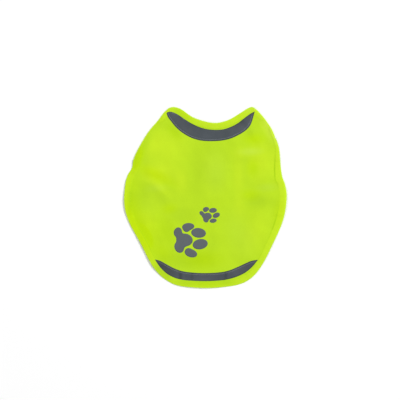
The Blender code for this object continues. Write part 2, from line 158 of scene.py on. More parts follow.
@dataclass(frozen=True)
class SoftPatch:
    """A soft oval change of height or tone: its centre, half sizes, turn in degrees and amount."""

    place: str
    x: float
    y: float
    half_length: float
    half_width: float
    turn: float
    amount: float

    def at(self, spots: np.ndarray) -> np.ndarray:
        """The amount at each spot, fading to nothing at the oval's edge."""
        along, across = along_and_across(spots, self.x, self.y, self.turn)
        return self.amount * ease(1.0 - np.hypot(along / self.half_length, across / self.half_width))


@dataclass(frozen=True)
class Oval:
    """An oval of a print: its centre, full length, full width and turn in degrees."""

    x: float
    y: float
    length: float
    width: float
    turn: float = 0.0

    def fill(self, spots: np.ndarray, softness: float) -> np.ndarray:
        """How strongly the oval fills each spot, 1 on its outline."""
        along, across = along_and_across(spots, self.x, self.y, self.turn)
        reach = np.hypot(along * 2.0 / self.length, across * 2.0 / self.width)
        size = math.sqrt(self.length * self.width) / 2.0
        return np.exp((1.0 - reach) * size / softness)


@dataclass(frozen=True)
class Paw:
    """A paw print: the ovals that its pad and each of its toes flow together from."""

    name: str
    softness: float
    pad: tuple[Oval, ...]
    toes: tuple[tuple[Oval, ...], ...]


def table(kind: type, *rows: tuple) -> tuple:
    """Objects of one kind, each made from a row of its plain values."""
    return tuple(kind(*row) for row in rows)


# The outline clockwise from the middle of the neck
OUTLINE = table(
    EdgePoint,
    ("neck middle", 14.5, 134.6),
    ("neck right quarter", 39.5, 139.2),
    ("neck right slope", 63.5, 152.6),
    ("neck right rise", 75.5, 160.3),
    ("neck tip right", 84, 163.4),
    ("right shoulder", 91, 160.2),
    ("right fold upper", 104.5, 146),
    ("right fold lower", 119.5, 124.5),
    ("right fold end", 126.3, 109, 6.5),
    ("right chest", 132.8, 90, 7.6),
    ("right waist", 136.4, 54, 12.2),
    ("right dip", 139.2, 36.5, 14.4),
    ("right bulge top", 144.2, 22.5, 14),
    ("right bulge", 146.9, 1, 13.2),
    ("right flank", 141.2, -38, 14.4),
    ("right hip", 124.2, -79.3, 12.6),
    ("right tail corner", 96, -131.5),
    ("right tail round", 69.5, -153.8),
    ("tail right", 28, -162.2),
    ("tail left", -21, -162.6),
    ("left tail round", -60, -155.3),
    ("left tail corner", -90.5, -130.5),
    ("left hip", -117.7, -81.7),
    ("left flank", -138.3, -43),
    ("left bulge low", -146.2, -13, 12.5),
    ("left bulge top", -144.6, 24, 12),
    ("left dip", -140.2, 40.5, 11.5),
    ("left waist", -132.8, 53, 11),
    ("left fold end", -129.1, 71.5, 11),
    ("left fold lower", -113.5, 102),
    ("left fold middle", -100.8, 121.6),
    ("left fold upper", -85, 140),
    ("left shoulder", -71.5, 157.2),
    ("neck tip left", -60, 163.3),
    ("neck left rise", -45.5, 160.2),
    ("neck left slope", -21, 144.3),
)

RIGHT_FOLD = Fold("right shoulder", "right fold end", 1.8, 2.6, 15, ((99, 86), (57, 86), (64, 128)))
LEFT_FOLD = Fold("left fold end", "left shoulder", 2.2, 3.4, 24, ((-49, 122), (-57, 47), (-100, 57)))
FOLDS = (RIGHT_FOLD, LEFT_FOLD)

# The hemmed stretches of the outline, and the rolls of the folds between them
NECK_HEM = ("left shoulder", "right shoulder")
BODY_HEM = ("right fold end", "left fold end")
HEM_RUN_ON = 16.0
ROLL_NOTCH = 2.2
ROLL_END = 0.85

NECK_STATIONS = table(
    Station,
    (-70.2, 152.2, 152.2),
    (-67.6, 154.3, 145.6),
    (-62, 154.8, 137.9),
    (-52.5, 151.4, 126.5),
    (-40.4, 143.6, 116.4),
    (-25.9, 134.4, 108.4),
    (-11.5, 127.6, 103.8),
    (3, 123.5, 102.1),
    (17.4, 122.2, 102.1),
    (31.9, 123.1, 103.4),
    (46.4, 127.8, 106.9),
    (59, 134.5, 112.6),
    (71.1, 143.9, 119.9),
    (81.6, 151.4, 131.4),
    (89.2, 155.4, 155.4),
)

TAIL_STATIONS = table(
    Station,
    (-91.2, -111.9, -111.9),
    (-81.4, -114.6, -126.2),
    (-69.3, -121.4, -137.8),
    (-54.8, -128.9, -145.4),
    (-40.4, -133.6, -148.9),
    (-20.9, -136.1, -150.6),
    (3, -136.8, -151.1),
    (27.4, -135.3, -149.9),
    (42, -132.3, -147.6),
    (56.5, -126.6, -143.3),
    (71.1, -119.9, -136.4),
    (83.2, -114.6, -126.8),
    (95, -112.6, -112.6),
)

# Rises and hollows: the broad ones are also the solid's, the others are the cloth's finer relief
SWELLS = table(
    SoftPatch,
    ("upper middle", 10, 62, 52, 24, 88, 1.5),
    ("left long ridge", -94, 24, 46, 16, -14, 0.9),
    ("left diagonal ridge", -78, 8, 30, 15, -45, 0.8),
    ("right chest", 108, 44, 42, 18, 82, 1.3),
    ("right flank", 100, -46, 40, 17, 62, 1.2),
    ("left flank", -108, -46, 44, 16, -66, 1.1),
    ("lower middle", 20, -78, 50, 22, 80, 1),
    ("lower left", -48, -88, 34, 16, 35, 0.9),
    ("neck lift", 14, 136, 48, 24, 0, 2.4),
    ("right bulge lift", 152, 0, 58, 38, 90, 2.4),
    ("left bulge lift", -152, 4, 62, 40, 86, 2.8),
    ("right waist lift", 142, 76, 30, 22, 80, 1.6),
    ("tail lift", -16, -168, 74, 26, 2, 1.8),
    ("right tail lift", 92, -144, 44, 22, 48, 1.4),
    ("left tail lift", -98, -130, 46, 24, -56, 1.7),
    ("middle dome", 5, 5, 130, 95, 90, 1.3),
    ("centre trough", -18, 44, 44, 15, 90, -0.8),
    ("centre ridge", 38, 40, 60, 14, 86, 0.6),
    ("right hollow", 90, -4, 22, 16, 8, -0.9),
    ("right upper hollow", 98, 55, 22, 12, 80, -0.5),
    ("dimple", 44.5, 47, 6, 5, 0, -0.4),
    ("left hollow", -110, 4, 26, 15, 72, -0.9),
    ("left crease", -76, 8, 22, 3.6, -41, 0.26),
    ("left crease valley", -84, 2, 22, 8, -41, -0.15),
    ("left long crease", -94, 26, 44, 7, -14, 0.2),
    ("left flap hollow", -88, 42, 24, 16, -10, -0.1),
    ("lower left valley", -90, -72, 38, 11, -66, -0.7),
    ("lower left ridge", -70, -60, 36, 9, -62, 0.5),
    ("lower dip", 34, -117, 17, 9, 0, -0.5),
    ("paw side dip", -48, -26, 13, 10, 0, -0.4),
    ("right lower valley", 106, -54, 36, 10, 62, -0.6),
    ("right lower ridge", 84, -50, 42, 10, 66, 0.5),
    ("right column", 58, -34, 52, 13, 88, -0.5),
    ("right dip wrinkle", 132.8, 26, 9, 2.6, -76, 0.32),
    ("right dip wrinkle valley", 129.6, 24.5, 7, 2.4, -76, -0.25),
    ("neck left pull", -72, 120, 28, 10, 62, 0.5),
    ("neck right pull", 86, 116, 28, 10, -60, 0.5),
    ("tail left crease", -45.8, -142, 14, 3.4, 92, -0.5),
    ("tail right crease", 71.7, -131, 14, 3.2, 84, -0.5),
    ("tail middle crease", -24, -143.5, 13, 3.2, 90, -0.25),
    ("tail crease right of the middle", 37, -140.5, 13, 3.4, 88, -0.35),
)

# Tone of the thin cloth: lighter where it lies doubled, and painted light and painted shade where its
# relief, folds and hollows catch or lose the light
TONES_AND_PAINTED_LIGHT = table(
    SoftPatch,
    ("over left flap", -68, 88, 60, 52, 90, 0.7),
    ("left shoulder", -94, 96, 40, 22, 60, 0.5),
    ("left flap end", -84, 44, 52, 30, -8, 0.8),
    ("left shoulder fold", -112, 92, 34, 12, 60, -0.6),
    ("below left flap", -44, 30, 36, 19, 90, 0.6),
    ("centre trough", -14, 40, 78, 24, 90, -0.7),
    ("centre", 18, 30, 34, 22, 90, -0.35),
    ("beside paw", -40, -31, 40, 22, 0, -0.8),
    ("left of paw", -66, -64, 46, 19, -68, -0.8),
    ("right of paw", 14, -86, 34, 18, 80, -0.4),
    ("above tail", -30, -112, 70, 28, 0, -1.2),
    ("right strip", 60, 40, 66, 15, 90, 0.5),
    ("right strip foot", 62, -18, 34, 18, 90, 0.35),
    ("over right flap", 102, 66, 52, 36, 90, 0.85),
    ("right flap end", 72, 82, 32, 14, 4, 0.6),
    ("right flap hollow", 90, 52, 20, 14, 90, -0.6),
    ("right hollow", 93, -6, 28, 19, 0, -1.2),
    ("right hollow side", 118, -8, 22, 14, 0, -0.4),
    ("left hollow", -116, 6, 38, 24, 20, -1),
    ("left hollow foot", -114, -16, 34, 14, 10, -0.45),
    ("left crease top", -84, 20, 46, 12, -36, 0.5),
    ("left crease foot", -80, -4, 26, 14, -30, -0.6),
    ("right flank", 94, -60, 60, 42, 70, 0.5),
    ("left flank", -104, -44, 44, 24, -60, 0.35),
    ("below neck left", -57, 122, 28, 16, -50, -0.9),
    ("below neck right", 81, 120, 26, 16, 50, -0.8),
    ("below neck middle", 14, 88, 42, 26, 0, -0.6),
    ("tail hem left", -34, -154, 44, 14, 0, -0.9),
    ("tail hem middle", 4, -156, 30, 12, 0, -0.7),
    ("tail hem right", 36, -153, 30, 12, 0, -0.9),
    ("left tail round hem", -78, -137, 28, 15, -40, -1.9),
    ("neck hem left", -46, 153, 44, 18, -38, -0.75),
    ("left waist hem", -128, 64, 34, 14, 78, -0.7),
    ("left bulge hem", -143, -6, 60, 9, 88, 0.4),
    ("left bulge inner hem", -136, -2, 50, 9, 88, -0.6),
    ("right waist hem", 130, 60, 60, 16, 90, 0.6),
    ("right fold", 117, 122, 48, 16, -58, 1.2),
    ("right bulge hem", 140, -28, 50, 16, 80, 0.6),
)

# How strongly the painted shade in the sewn groove of the hem shows
GROOVE_SHADE_SHARES = table(
    SoftPatch,
    ("right waist", 124, 50, 34, 22, 88, 0.9),
    ("right flank", 122, -46, 30, 24, 75, 0.8),
    ("right bulge", 134, 0, 28, 20, 90, -0.5),
    ("left bulge", -134, -8, 74, 26, 88, -0.7),
    ("left waist", -122, 62, 40, 26, 78, -0.5),
)

# How much more the painted highlight on the rim of the cloth shows
RIM_HIGHLIGHT_SHARES = table(
    SoftPatch,
    ("right bulge", 147, 4, 44, 30, 90, 0.9),
    ("right flank", 138, -52, 40, 24, 72, 0.4),
)

# Painted shade and reflected green light: where the cloth is of a deeper, more saturated green
SHADE_AND_BOUNCE_SHARES = table(
    SoftPatch,
    ("left side", -126, -62, 96, 46, -64, 1.1),
    ("left bulge", -136, 10, 80, 34, 84, 0.5),
    ("left waist", -126, 72, 38, 18, 66, 1.7),
    ("left diagonal", -90, 41, 60, 17, -27, 0.8),
    ("left flank", -108, -70, 30, 14, -62, 1.5),
    ("lower left", -74, -104, 34, 20, -45, 0.5),
    ("left middle", -64, -20, 22, 15, 0, 0.7),
    ("left of paw", -72, -62, 62, 34, -65, 0.5),
    ("above tail", -6, -112, 58, 28, 0, 0.8),
    ("below right tape", 88, 106, 30, 16, 0, 0.9),
    ("right flap hollow", 86, 54, 26, 18, 90, 0.7),
    ("right hollow", 82, 4, 26, 16, 0, 0.7),
    ("right bulge", 134, -26, 40, 18, 80, 0.5),
    ("tail hem", 0, -158, 80, 16, 0, 0.7),
    ("neck hem left", -36, 150, 30, 14, -35, 0.6),
    ("below left tape", -56, 118, 30, 14, -48, 0.5),
)

# Painted sheen: where the cloth is paler and bluer
PAINTED_SHEEN_SHARES = table(
    SoftPatch,
    ("right fold", 121, 122, 52, 20, -58, 1.3),
    ("right flap end", 82, 83, 34, 11, 2, 1),
    ("centre", 20, 50, 58, 36, 90, 0.45),
    ("right hollow top", 112, 18, 30, 12, 4, 0.6),
    ("lower right", 62, -66, 66, 40, -62, 0.35),
    ("left hollow top", -88, 17, 30, 11, 4, 0.45),
    ("neck tip right", 80, 160, 22, 12, 40, 0.7),
)

# Painted shade on the tapes: darker at creases across them and towards some ends
TAPE_SHADES = table(
    SoftPatch,
    ("tail left crease", -44.9, -142.5, 22, 5.2, 92, 0.75),
    ("tail middle crease", -24, -143.5, 22, 4.6, 90, 0.35),
    ("tail right crease", 37, -140.5, 22, 5, 88, 0.6),
    ("tail left end", -80, -122, 50, 26, -42, 0.6),
    ("tail right end", 79, -124, 22, 16, 40, 0.2),
    ("neck left part", -36, 130, 36, 20, -34, 0.3),
    ("neck right part", 67, 138, 24, 18, 45, 0.55),
)

# The prints, each with its pad first and then its toes
LARGE_PAW = Paw(
    "large_paw",
    1.6,
    (
        Oval(-36.6, -76.8, 27.6, 22.8, -8),
        Oval(-45.5, -76.5, 13, 22),
        Oval(-40, -85.5, 8, 9),
        Oval(-49.8, -62.8, 17.8, 14.6, 72),
        Oval(-47.4, -90.3, 20.4, 16.4, -62),
    ),
    (
        (Oval(-30.8, -52.6, 21.8, 12.8, 4), Oval(-34.1, -56.8, 11.4, 11.2)),
        (Oval(-12.3, -64, 26.8, 17.6, -6),),
        (Oval(-9.4, -84.5, 27.6, 18.5, 11),),
        (Oval(-25.7, -101, 22.2, 14.2, -15), Oval(-30.3, -97.4, 11.8, 11.2)),
    ),
)

SMALL_PAW = Paw(
    "small_paw",
    0.8,
    (
        Oval(4.6, -33.6, 14, 12.2, -10),
        Oval(-1.9, -33.6, 8.8, 7.8, -30),
        Oval(-6.3, -28.7, 9.6, 7.4, -40),
        Oval(1, -40.2, 10.6, 9.2, -50),
    ),
    (
        (Oval(1.3, -20.9, 11, 7.2, 8), Oval(0.1, -22.9, 7.2, 7)),
        (Oval(13.8, -23.3, 14.2, 8.8, 6),),
        (Oval(19.8, -32.1, 13.6, 8.8, 24),),
        (Oval(14.1, -42, 12.8, 7.6, 10),),
    ),
)


def along_and_across(spots: np.ndarray, x: float, y: float, turn: float) -> tuple[np.ndarray, np.ndarray]:
    """How far each spot lies from a centre, along a direction in degrees and across it."""
    angle = math.radians(turn)
    offsets = spots - np.array((x, y))
    along = offsets @ np.array((math.cos(angle), math.sin(angle)))
    across = offsets @ np.array((-math.sin(angle), math.cos(angle)))
    return along, across


def shares(patches: tuple[SoftPatch, ...], spots: np.ndarray, base: float = 0.0) -> np.ndarray:
    """The sum of some soft patches over a base, never below nothing."""
    return np.maximum(base + sum(patch.at(spots) for patch in patches), 0.0)


def ease(value: np.ndarray) -> np.ndarray:
    """A smooth step from 0 to 1 as value goes from 0 to 1."""
    clamped = np.clip(value, 0.0, 1.0)
    return clamped * clamped * (3.0 - 2.0 * clamped)


def bell(distance: np.ndarray, width: float) -> np.ndarray:
    """1 at no distance, fading to nothing on both sides over a width."""
    return np.exp(-((distance / width) ** 2))


def blend(layers: list[np.ndarray]) -> np.ndarray:
    """A smooth maximum of several heights, never below the highest of them."""
    total = sum(np.power(np.maximum(layer, 0.0), BLEND_POWER) for layer in layers)
    return np.power(total, 1.0 / BLEND_POWER)


def heading(start: np.ndarray, end: np.ndarray) -> np.ndarray:
    """The direction from one point to another, one unit long."""
    run = end - start
    return run / np.linalg.norm(run)


def raised(points: np.ndarray, heights: np.ndarray) -> np.ndarray:
    """Plan points with their heights as a third column."""
    return np.column_stack((points, heights))


def plan_tree(points: np.ndarray) -> kdtree.KDTree:
    """A search tree of points by their places in plan."""
    tree = kdtree.KDTree(len(points))
    for k, point in enumerate(points):
        tree.insert((point[0], point[1], 0.0), k)
    tree.balance()
    return tree


@dataclass
class PlanPath:
    """A path in plan, open or closed, in millimetres."""

    points: np.ndarray
    closed: bool = False

    def line(self) -> np.ndarray:
        """The points, with the first one again at the end where the path is closed."""
        return np.vstack((self.points, self.points[:1])) if self.closed else self.points

    def mileage(self) -> np.ndarray:
        """Distance along the path of each point of its line."""
        steps = np.linalg.norm(np.diff(self.line(), axis=0), axis=1)
        return np.concatenate(((0.0,), np.cumsum(steps)))

    def nearest(self, spots: np.ndarray) -> tuple[np.ndarray, np.ndarray]:
        """Find the nearest place of the path.

        Args:
            spots: Plan points, one row each.

        Returns:
            The distance from each spot, and how far along the path the nearest place is.
        """
        line = self.line()
        starts = line[:-1]
        runs = line[1:] - starts
        lengths = np.linalg.norm(runs, axis=1)
        mileage = self.mileage()
        gaps = np.empty(len(spots))
        reached = np.empty(len(spots))
        for first in range(0, len(spots), NEAREST_BATCH):
            part = spots[first:first + NEAREST_BATCH]
            offsets = part[:, None, :] - starts[None, :, :]
            along = np.clip((offsets * runs).sum(axis=2) / (lengths ** 2), 0.0, 1.0)
            away = np.linalg.norm(offsets - along[:, :, None] * runs, axis=2)
            best = away.argmin(axis=1)
            rows = np.arange(len(part))
            gaps[first:first + NEAREST_BATCH] = away[rows, best]
            reached[first:first + NEAREST_BATCH] = mileage[best] + along[rows, best] * lengths[best]
        return gaps, reached

    def holds(self, spots: np.ndarray) -> np.ndarray:
        """Which spots lie inside the closed path."""
        result = np.zeros(len(spots), dtype=bool)
        for start, end in zip(self.points, np.roll(self.points, -1, axis=0)):
            spans = (start[1] > spots[:, 1]) != (end[1] > spots[:, 1])
            rise = end[1] - start[1]
            slope = (end[0] - start[0]) / rise if rise else 0.0
            crossing = start[0] + (spots[:, 1] - start[1]) * slope
            result ^= spans & (spots[:, 0] < crossing)
        return result

    def depth(self, spots: np.ndarray) -> np.ndarray:
        """Signed distance to the closed path, positive inside it."""
        gaps, _ = self.nearest(spots)
        return np.where(self.holds(spots), gaps, -gaps)

    def plateau(self, spots: np.ndarray, height: float, margin: float, reach: float) -> np.ndarray:
        """Work out a level top over the closed path, eased down around it.

        Args:
            spots: Plan points, one row each.
            height: Height of the level top.
            margin: How far the level top runs on past the path.
            reach: Distance over which it eases down to nothing.

        Returns:
            The height at each spot.
        """
        return height * ease(1.0 + (self.depth(spots) + margin) / reach)

    def moved(self, distance: float | np.ndarray) -> "PlanPath":
        """The open path moved to the right of its own direction."""
        ahead = np.gradient(self.points, axis=0)
        ahead = ahead / np.linalg.norm(ahead, axis=1)[:, None]
        right = np.column_stack((ahead[:, 1], -ahead[:, 0]))
        return PlanPath(self.points + right * np.reshape(distance, (-1, 1)))

    def filled_in(self, spacing: float) -> "PlanPath":
        """The same path with even points added along its longer runs."""
        line = self.line()
        result = []
        for start, end in zip(line[:-1], line[1:]):
            count = max(1, round(float(np.linalg.norm(end - start)) / spacing))
            result.extend(start + (end - start) * step / count for step in range(count))
        if not self.closed:
            result.append(line[-1])
        return PlanPath(np.array(result), self.closed)

    def runs_where(self, keep: np.ndarray) -> list["PlanPath"]:
        """The unbroken runs of the open path whose points are kept."""
        breaks = np.flatnonzero(np.diff(keep.astype(int))) + 1
        pieces = np.split(np.arange(len(keep)), breaks)
        return [PlanPath(self.points[piece]) for piece in pieces if keep[piece[0]] and len(piece) > 1]


def spline_span(around: list[np.ndarray], spacing: float) -> list[np.ndarray]:
    """Make the smooth curve between the middle two of four points.

    Args:
        around: The point before, the start, the end and the point after.
        spacing: Distance between the curve's points.

    Returns:
        The points from the start up to the end, without the end.
    """
    before, start, end, after = around
    length = float(np.linalg.norm(end - start))
    leaving = start + heading(before, end) * length / 3.0
    arriving = end - heading(start, after) * length / 3.0
    count = max(1, round(length / spacing))
    knots = [Vector((*point, 0.0)) for point in (start, leaving, arriving, end)]
    curve = interpolate_bezier(*knots, count + 1)
    return [np.array(point[:2]) for point in curve[:-1]]


def open_curve(points: list[tuple[float, float]], spacing: float) -> PlanPath:
    """A smooth open curve through the given points."""
    spots = [np.array(point, dtype=float) for point in points]
    full = [2.0 * spots[0] - spots[1], *spots, 2.0 * spots[-1] - spots[-2]]
    curve = []
    for index in range(1, len(full) - 2):
        curve.extend(spline_span(full[index - 1:index + 3], spacing))
    curve.append(spots[-1])
    return PlanPath(np.array(curve))


def rounded(corners: list[np.ndarray], radius: float, closed: bool) -> PlanPath:
    """Join corners with straight runs, each corner turned on a radius.

    Args:
        corners: The corners, in order.
        radius: How far before and after a corner its round starts and ends.
        closed: Whether the last corner joins the first.

    Returns:
        The path, open or closed.
    """
    points = []
    count = len(corners)
    for index, corner in enumerate(corners):
        if not closed and index in (0, count - 1):
            points.append(corner)
            continue
        back = heading(corner, corners[index - 1])
        ahead = heading(corner, corners[(index + 1) % count])
        for part in ROUND_PARTS:
            away = back * (1.0 - part) ** 2 + ahead * part ** 2
            points.append(corner + away * radius)
    return PlanPath(np.array(points), closed)


@dataclass(frozen=True)
class Strip:
    """A straight strip: the middle of its first end, its heading in degrees, and its sizes."""

    x: float
    y: float
    heading: float
    length: float
    width: float

    def along(self) -> np.ndarray:
        """The direction in which the strip runs."""
        angle = math.radians(self.heading)
        return np.array((math.cos(angle), math.sin(angle)))

    def loop(self, inset: float = 0.0, corner: float = PATCH_CORNER) -> PlanPath:
        """The outline of the strip, moved in by an inset."""
        along = self.along()
        across = np.array((-along[1], along[0])) * (self.width / 2.0 - inset)
        start = np.array((self.x, self.y)) + along * inset
        end = start + along * (self.length - 2.0 * inset)
        corners = [start - across, end - across, end + across, start + across]
        return rounded(corners, corner, True).filled_in(EDGE_SPACING)

    def part(self, start: float, length: float, width: float) -> "Strip":
        """A shorter strip along the same middle line."""
        shift = self.along() * start
        return Strip(self.x + shift[0], self.y + shift[1], self.heading, length, width)

    def reached(self, spots: np.ndarray) -> np.ndarray:
        """How far along the strip each spot is."""
        return (spots - np.array((self.x, self.y))) @ self.along()

    def lift(self, spots: np.ndarray) -> np.ndarray:
        """Height of cloth that lies on this strip, where the strip is a patch on the table."""
        return self.loop().plateau(spots, PATCH_LIFT, PATCH_MARGIN, PATCH_REACH)


RIGHT_STRAP = Strip(130.0, -14.0, -118.2, STRAP_LENGTH, STRAP_WIDTH)
LEFT_STRAP = Strip(-130.0, -14.0, -61.8, STRAP_LENGTH, STRAP_WIDTH)
STRAP_SEAM_GAP = 0.5
STRAP_SEAM_REACH = 34.0
CHEST_HOOK = Strip(78.0, 89.0, 90.0, 26.0, 28.0)
CHEST_LOOP = Strip(-78.5, 55.0, 97.0, 26.0, 28.0)
STRAP_END_GAP = 4.0
STRAP_PATCH_LENGTH = 38.0
STRAP_PATCH_WIDTH = 19.0
STRAP_PATCH_START = STRAP_LENGTH - STRAP_END_GAP - STRAP_PATCH_LENGTH
RIGHT_END = RIGHT_STRAP.part(STRAP_PATCH_START, STRAP_PATCH_LENGTH, STRAP_PATCH_WIDTH)
LEFT_END = LEFT_STRAP.part(STRAP_PATCH_START, STRAP_PATCH_LENGTH, STRAP_PATCH_WIDTH)
FLAP_PATCHES = {RIGHT_FOLD: CHEST_HOOK, LEFT_FOLD: CHEST_LOOP}


class VestPattern:
    """The cut of the vest in plan: its outline, folds, flaps and hems."""

    def __init__(self) -> None:
        """Work out the paths that several pieces use."""
        self.fold_lines = {fold: self.fold_line(fold) for fold in FOLDS}
        self.flap_loops = {fold: self.flap_loop(fold) for fold in FOLDS}
        self.hems = [self.hem_edge(*places) for places in (NECK_HEM, BODY_HEM)]

    @staticmethod
    def stretch(start: str, end: str) -> tuple[PlanPath, np.ndarray]:
        """Follow the outline clockwise from one named place to another.

        Args:
            start: The first place.
            end: The last place.

        Returns:
            The open path, and the width of the hem at each of its points.
        """
        places = [row.place for row in OUTLINE]
        spots = [np.array((row.x, row.y)) for row in OUTLINE]
        count = len(spots)
        index = places.index(start)
        last = places.index(end)
        points = []
        widths = []
        while index != last:
            around = [spots[(index + shift) % count] for shift in (-1, 0, 1, 2)]
            span = spline_span(around, EDGE_SPACING)
            points.extend(span)
            leaving = OUTLINE[index].hem
            arriving = OUTLINE[(index + 1) % count].hem
            widths.extend(np.linspace(leaving, arriving, len(span), endpoint=False))
            index = (index + 1) % count
        points.append(spots[last])
        widths.append(OUTLINE[last].hem)
        return PlanPath(np.array(points)), np.array(widths)

    def fold_line(self, fold: Fold) -> PlanPath:
        """The line where a fold's roll begins, inside the folded edge."""
        path, _ = self.stretch(fold.start, fold.end)
        return path.moved(fold.inset)

    def flap_loop(self, fold: Fold) -> PlanPath:
        """The closed outline of the flap that a fold turns under."""
        line = self.fold_lines[fold].points
        free_edge = self.free_edge(fold).points
        return PlanPath(np.vstack((line, free_edge[1:-1])), True)

    def free_edge(self, fold: Fold) -> PlanPath:
        """The flap's own edge, from the end of its fold line back to the start."""
        line = self.fold_lines[fold].points
        corners = [line[-1], *(np.array(corner, dtype=float) for corner in fold.corners), line[0]]
        return rounded(corners, FLAP_CORNER, False).filled_in(EDGE_SPACING)

    def panel_loop(self) -> PlanPath:
        """The closed outline of the upper layer of the back panel."""
        hemmed = []
        for places in (NECK_HEM, BODY_HEM):
            points = self.stretch(*places)[0].points
            points[0] += heading(points[0], points[1]) * ROLL_NOTCH
            points[-1] += heading(points[-1], points[-2]) * ROLL_NOTCH
            hemmed.append(points)
        right, left = (self.fold_lines[fold].points for fold in FOLDS)
        return PlanPath(np.vstack((hemmed[0], right, hemmed[1], left)), True)

    def hem_edge(self, start: str, end: str) -> tuple[PlanPath, np.ndarray]:
        """A hemmed stretch of the outline run on straight past the folds, with its widths."""
        path, widths = self.stretch(start, end)
        points = path.points
        first = points[0] + heading(points[1], points[0]) * HEM_RUN_ON
        last = points[-1] + heading(points[-2], points[-1]) * HEM_RUN_ON
        run_on = np.vstack((first, points, last))
        return PlanPath(run_on), np.concatenate((widths[:1], widths, widths[-1:]))

    def hem_line(self, places: tuple[str, str], beyond: float) -> PlanPath:
        """A line along the inner edge of the hem, so far beyond it towards the cloth."""
        path, widths = self.stretch(*places)
        return path.moved(widths + beyond)


@dataclass
class HemField:
    """Where each spot lies against the hems."""

    gap: np.ndarray
    inner: np.ndarray
    along: np.ndarray

    def turned(self, step: float) -> np.ndarray:
        """1 on the turned hem and 0 on the single cloth, changing over a step."""
        return ease(0.5 - self.inner / step)

    def near(self, place: float, width: float) -> np.ndarray:
        """1 on a line so far in from the hem's inner edge, fading over a width."""
        return bell(self.inner + place, width)


class VestForm:
    """Heights of the upper layer of cloth over the table."""

    RIPPLES = 14
    RIPPLE_HEIGHT = 0.055
    RIPPLE_SHORT = 16.0
    RIPPLE_LONG = 46.0
    PUCKER_HEIGHT = 0.09
    PUCKER_WIDTH = 7.0
    PUCKERS = (9.3, 13.1, 21.7)

    def __init__(self, pattern: VestPattern, seed: int = 11) -> None:
        """Keep the pattern and draw the fine ripples of the cloth.

        Args:
            pattern: The cut of the vest.
            seed: Start of the random numbers.
        """
        self.pattern = pattern
        chance = np.random.default_rng(seed)
        lengths = chance.uniform(self.RIPPLE_SHORT, self.RIPPLE_LONG, self.RIPPLES)
        turns = chance.uniform(0.0, math.pi, self.RIPPLES)
        self.waves = np.column_stack((np.cos(turns), np.sin(turns))) * (2.0 * math.pi / lengths)[:, None]
        self.phases = chance.uniform(0.0, 2.0 * math.pi, self.RIPPLES)

    def hem_field(self, spots: np.ndarray) -> HemField:
        """Where each spot lies against the nearest hem."""
        gaps = []
        inner = []
        along = []
        for path, widths in self.pattern.hems:
            gap, reached = path.nearest(spots)
            gaps.append(gap)
            inner.append(gap - np.interp(reached, path.mileage(), widths))
            along.append(reached)
        best = np.argmin(gaps, axis=0)
        rows = np.arange(len(spots))
        return HemField(*(np.array(values)[best, rows] for values in (gaps, inner, along)))

    def support(self, spots: np.ndarray) -> np.ndarray:
        """Height that the folds, flaps, straps and patches hold the cloth at."""
        layers = []
        for fold in FOLDS:
            line = self.pattern.fold_lines[fold]
            gaps, reached = line.nearest(spots)
            share = reached / line.mileage()[-1]
            crown = fold.crown * (ROLL_END + (1.0 - ROLL_END) * np.sin(math.pi * share))
            layers.append(crown * ease(1.0 - gaps / fold.reach))
            layers.append(self.bridged(spots, self.pattern.flap_loops[fold], FLAP_HEIGHT))
        for strap in (RIGHT_STRAP, LEFT_STRAP):
            layers.append(self.bridged(spots, strap.loop(), FLAP_HEIGHT))
        for patch in (CHEST_HOOK, CHEST_LOOP, RIGHT_END, LEFT_END):
            layers.append(self.bridged(spots, patch.loop(), PATCH_HEIGHT))
        return blend(layers)

    @staticmethod
    def bridged(spots: np.ndarray, loop: PlanPath, height: float) -> np.ndarray:
        """Height of cloth that bridges over a thing of that outline and height."""
        return loop.plateau(spots, height, BRIDGE_MARGIN, BRIDGE_REACH)

    def relief(self, spots: np.ndarray) -> np.ndarray:
        """Soft rises, dips and fine ripples of the cloth."""
        total = self.RIPPLE_HEIGHT * np.sin(spots @ self.waves.T + self.phases).sum(axis=1)
        return total + sum(swell.at(spots) for swell in SWELLS)

    def under(self, spots: np.ndarray, hem: HemField) -> np.ndarray:
        """Underside of the upper layer, lifted a little inside the turned hem."""
        height = self.support(spots) + self.relief(spots)
        waves = sum(np.sin(2.0 * math.pi * hem.along / length) for length in self.PUCKERS)
        height += self.PUCKER_HEIGHT * waves * hem.near(HEM_WIDTH / 3.0, self.PUCKER_WIDTH)
        height = (height + np.sqrt(height ** 2 + FLOOR_SOFTNESS ** 2)) / 2.0
        lift = (1.0 - hem.turned(HEM_STEP)) * np.exp(-np.maximum(hem.inner, 0.0) / HEM_FADE)
        return height + HEM_LIFT * lift

    def top(self, under: np.ndarray, hem: HemField) -> np.ndarray:
        """Upper side of the upper layer, with its hem, stitch groove and rounded edge."""
        edge = np.clip(1.0 - hem.gap / EDGE_ROUND, 0.0, 1.0) ** 2
        groove = GROOVE_DEPTH * hem.near(STITCH_INSET, GROOVE_WIDTH)
        return under + CLOTH + HEM_LAYER * hem.turned(HEM_STEP) - groove - EDGE_DROP * edge

    def surface(self, spots: np.ndarray) -> np.ndarray:
        """Upper side of the vest at each spot."""
        hem = self.hem_field(spots)
        return self.top(self.under(spots, hem), hem)


